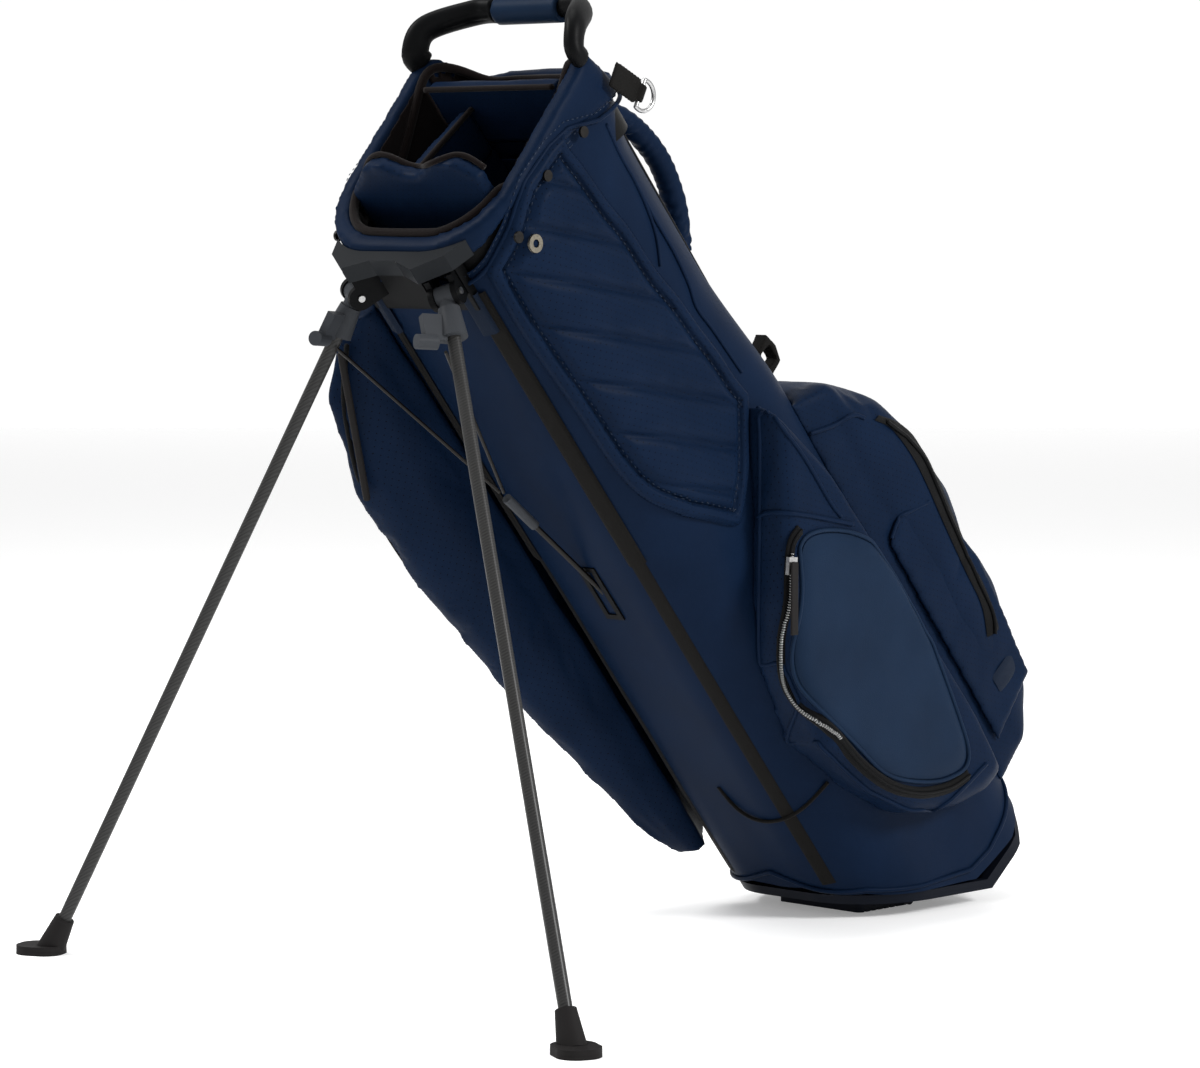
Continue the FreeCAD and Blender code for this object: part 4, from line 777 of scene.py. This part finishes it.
teethLine = laid(zipLine[8:80], sidePocket, 0.0040)
stitches("sideZipTeeth", [[(p, (p - axisPoint(p)).normalized()) for p in smoothLine(teethLine, 260)]],
         length=0.0012, pitch=0.0022, radius=0.0021, finish="steel")
flapEdge = [(50, 470), (64, 463), (96, 431), (141, 378)]
pipe("slipFlapEdge", "plain", sightLine(flapEdge, -125, 60, sidePocket, 0.0010), 0.0022,
     slot="navy_leather")
ridgeEdge = [(132, 549), (132, 513), (138, 463), (139, 407), (142, 386)]
pipe("gussetRidge", "plain", sightLine(ridgeEdge, -115, 60, sidePocket, 0.0004), 0.0020, slot="navy_leather")

# lid, zip strip and loop of the ball pocket
lidEdge = [(177, 446), (228, 417), (259, 404), (270, 391)]
stripOuter = [(275, 113), (282, 123), (287, 184), (294, 255), (303, 332), (291, 365), (270, 396)]
stripInner = [(255, 119), (269, 150), (272, 195), (277, 255), (281, 295), (282, 332), (276, 372), (262, 396)]
pipe("ballLidPiping", "plain", sightLine(lidEdge, -60, 60, ballPocket, 0.0008), 0.0022,
     slot="navy_leather")
ballFrontEdge = [(180, 434), (176, 400), (172, 330), (172, 250)]
pipe("ballFrontPiping", "plain", sightLine(ballFrontEdge, -60, 60, ballPocket, 0.0008), 0.0020,
     slot="navy_leather")


def bandPiece(name, finish, first, second, y, base, lift, columns=10, rows=90, **more):
    left = smoothLine([spot(v / 1000, y / 1000, u / 1000) for v, u in first], rows + 1)
    right = smoothLine([spot(v / 1000, y / 1000, u / 1000) for v, u in second], rows + 1)

    def place(s, t):
        row = round(t * rows)
        edge = ease(0.0, 0.18, min(s, 1 - s))
        return laid([left[row].lerp(right[row], s)], base, lift * (0.3 + 0.7 * edge))[0]

    return gridPiece(name, finish, columns, rows, place, smooth=2, **more)


bandPiece("ballZipStrip", "zipTape", stripOuter, stripInner, -80, ballPocket, 0.0022, slot="zip_black")
middleStrip = [((a[0] + b[0]) / 2, (a[1] + b[1]) / 2) for a, b in zip(stripOuter, stripInner)]
pipe("ballZipCoil", "black", sightLine(middleStrip, -80, 120, ballPocket, 0.0030), 0.0022,
     slot="zip_black")
bandPiece("ballNavyLoop", "navyWeb", [(235, 62), (285, 62)], [(235, 86), (285, 86)], -80, ballPocket, 0.0032,
          rows=20, slot="navy_leather")
tabLine = smoothLine([spot(0.226, -0.060, 0.050), spot(0.262, -0.062, 0.052), spot(0.268, -0.062, 0.070),
                      spot(0.262, -0.062, 0.088), spot(0.226, -0.060, 0.090)], 24)
pipe("ballTab", "navyWeb", tabLine, 0.0125, sides=12, flat=0.22, slot="navy_leather")
slipTop = sightLine([(184, 326), (222, 312), (261, 295)], -95, 50, slipNear, 0.0010)
pipe("slipTopPiping", "plain", slipTop, 0.0020, slot="navy_leather")
print("pockets done")


def crest(node, keyOf, count, low, high):
    # the highest point of a hard piece in each of count bins along it
    best = {}
    for vertex in nodes[node].data.vertices:
        at = unlean @ vertex.co
        key = int((keyOf(at) - low) / (high - low) * count)
        if 0 <= key < count and (key not in best or at.z > best[key].z):
            best[key] = at
    return [best[key] for key in sorted(best)]


def trimLine(name, node, keyOf, count, low, high, radius, closed=False):
    points = smoothLine([spot(*p) for p in crest(node, keyOf, count, low, high)], count * 3, closed)
    for _ in range(4):
        points = evened(points)
    pipe(name, "velour", points, radius, closed=closed, sides=10, slot="dark_velour")


trimLine("liningTrim", "cuff_lining", lambda at: math.atan2(at.y, at.x - bag["axis"]), 46,
         -math.pi, math.pi, 0.0042, True)
trimLine("frontDividerTrim", "front_divider", lambda at: at.y, 26, -0.085, 0.085, 0.0026)
trimLine("backDividerTrim", "back_divider", lambda at: at.y, 20, -0.085, 0.085, 0.0026)
trimLine("longDividerTrim", "long_divider", lambda at: at.x, 14, 0.01, 0.13, 0.0026)
collarStitch = dict(count=900, gap=0.0075, lift=0.0050, level=0.8)
collarRun = []
for index in range(collarStitch["count"] + 1):
    w = mix(-wholeRun, wholeRun, index / collarStitch["count"])
    out = (onBag(w, collarStitch["level"], 0.01) - onBag(w, collarStitch["level"], 0)).normalized()
    collarRun.append((onBag(w, along(w, seamEdge) + collarStitch["gap"], collarStitch["lift"]), out))
stitches("collarStitches", [collarRun])


def gathers(point, normal):
    # tight gathers across the inner side of the arch
    at = unlean @ point
    inner = ease(0.245, 0.225, at.x)
    return 0.0014 * math.sin(at.z * 620 + 6 * noise.noise(point * 40.0)) * (0.25 + inner) - 0.0008


grip = softCopy("top_handle_grip", "topGrip", "bright", 0.0022, 3, slot="navy_leather")
armPath = [(152, -99, 912), (152, -99, 924), (172, -93, 935), (208, -66, 924), (212, -44, 922)]
for label, side in (("near", 1), ("far", -1)):
    line = smoothLine([spot(v / 1000, side * y / 1000, u / 1000) for v, y, u in armPath], 40)
    pipe(f"handleBlade_{label}", "black", line, 0.0125, sides=16, flat=0.68, slot="black_plastic")
carry = softCopy("carry_handle", "carryHandle", "plain", 0.0026, 2, gathers, slot="navy_leather")
for label in ("near", "far"):
    softCopy(f"strap_anchor_{label}", f"strapAnchor_{label}", "webbing", 0.0018, 1, slot="black_webbing")
    softCopy(f"clip_loop_{label}", f"clipLoop_{label}", "webbing", 0.0014, 1, slot="black_webbing")
softCopy("apparel_pocket_zip", "apparelZip", "zipTape", 0.0016, 1, slot="zip_black")
softCopy("side_zip_pull", "sideZipPull", "rubber", 0.0010, 1, body="side_pull", slot="black_rubber")
softCopy("apparel_zip_pull", "apparelZipPull", "rubber", 0.0012, 1, body="apparel_pull", slot="black_rubber")

bungee = dict(length=0.1406, diameter=0.0035)
bungeeRoute = [(-15, -99.9, 194), (-33, -85.5, 184), (-45.8, -67.4, 176), (-52.9, -48, 172.5),
               (-54.6, -28, 172.5), (-54.4, -12, 181), (-53.6, -3, 196), (-52.4, 1, 212)]
curve = bpy.data.curves.new("bungeeCord", "CURVE")
curve.dimensions = "3D"
spline = curve.splines.new("NURBS")
spline.points.add(len(bungeeRoute) - 1)
for point, (v, y, u) in zip(spline.points, bungeeRoute):
    point.co = (*spot(v / 1000, y / 1000, u / 1000), 1)
spline.order_u = 3
spline.use_endpoint_u = True
curve.bevel_depth = bungee["diameter"] / 2
curve.bevel_resolution = 4
curve.materials.append(finishes["webbing"])
bungeeCord = bpy.data.objects.new("bungeeCord", curve)
bpy.context.scene.collection.objects.link(bungeeCord)
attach(bungeeCord, "bag")
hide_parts("bungee_cord")
print("straps done")

hardFinishes = dict(
    carbon=("leg_tube_near", "leg_tube_far"),
    grey=("leg_collar_near", "leg_collar_far", "junction_sleeve"),
    visor=("bracket_cover",),
    rubber=("leg_foot_near", "leg_foot_far"),
    band=("base_tray", "base_foot"),
    black=("cuff_frame", "top_handle_frame", "leg_bracket", "rod_bezel", "front_stays", "back_stays",
           "push_rod_guide"),
    darkMetal=("rivets_near", "rivets_far", "spreader_wire_near", "spreader_wire_far", "push_rod",
               "actuator_rod", "base_foot_pin"),
    steel=("strap_ring_near", "strap_ring_far", "leg_pin_near", "leg_pin_far", "side_zip_slider"),
    brass=("eyelet_near", "eyelet_far"),
)
for finish, members in hardFinishes.items():
    for member in members:
        mesh = nodes[member].data
        mesh.materials.clear()
        mesh.materials.append(finishes[finish])



def stageSheet(name, color, roughness, specular, glow, size, matrix):
    # a glowing plain sheet that stands round the bag and isn't part of it
    finish = Finish(name + "Finish", color, roughness, specular=specular)
    finish.shader.inputs["Emission Color"].default_value = (1, 1, 1, 1)
    finish.shader.inputs["Emission Strength"].default_value = glow
    bm = bmesh.new()
    bmesh.ops.create_grid(bm, x_segments=1, y_segments=1, size=size, matrix=matrix)
    mesh = bpy.data.meshes.new(name)
    bm.to_mesh(mesh)
    bm.free()
    mesh.materials.append(finish.material)
    sheet = bpy.data.objects.new(name, mesh)
    bpy.context.scene.collection.objects.link(sheet)


stageSheet("floor", (0.92, 0.92, 0.92), 0.9, 0.1, 0.24, 12.0, Matrix())
bpy.context.scene.view_settings.view_transform = "Standard"
world = bpy.data.worlds.new("studio")
bpy.context.scene.world = world
world.use_nodes = True
world.node_tree.nodes["Background"].inputs["Color"].default_value = (1, 1, 1, 1)
world.node_tree.nodes["Background"].inputs["Strength"].default_value = 0.55

# a bright backdrop beyond the floor
turn = Matrix.Rotation(math.radians(camera["turn"]), 4, "Z") @ Matrix.Rotation(math.radians(90), 4, "X")
turn.translation = Vector((6.3, 6.1, 2.0))
stageSheet("backdrop", (0.0, 0.0, 0.0), 1.0, 0.0, 1.02, 4.2, turn)

lamps = dict(
    key=dict(place=(-2.2, 2.0, 3.0), size=1.3, power=95.0),
    side=dict(place=(0.9, -3.2, 2.2), size=1.1, power=120.0),
    top=dict(place=(-0.3, 0.4, 3.4), size=2.2, power=40.0),
)
lampAim = Vector((-0.3, 0, 0.4))
for name, lamp in lamps.items():
    light = bpy.data.lights.new(name, "AREA")
    light.shape = "DISK"
    light.size = lamp["size"]
    light.energy = lamp["power"]
    holder = bpy.data.objects.new(name, light)
    bpy.context.scene.collection.objects.link(holder)
    holder.location = lamp["place"]
    aim = lampAim - Vector(lamp["place"])
    holder.rotation_euler = aim.to_track_quat("-Z", "Y").to_euler()

lens = bpy.data.cameras.new("camera")
lens.lens = camera["lens"]
lens.sensor_width = camera["width"]
lens.sensor_fit = "HORIZONTAL"
lens.clip_end = 50.0
viewer = bpy.data.objects.new("camera", lens)
bpy.context.scene.collection.objects.link(viewer)
viewer.location = camera["place"]
viewer.rotation_euler = (math.radians(90 - camera["tilt"]), 0, math.radians(camera["turn"]))
bpy.context.scene.camera = viewer
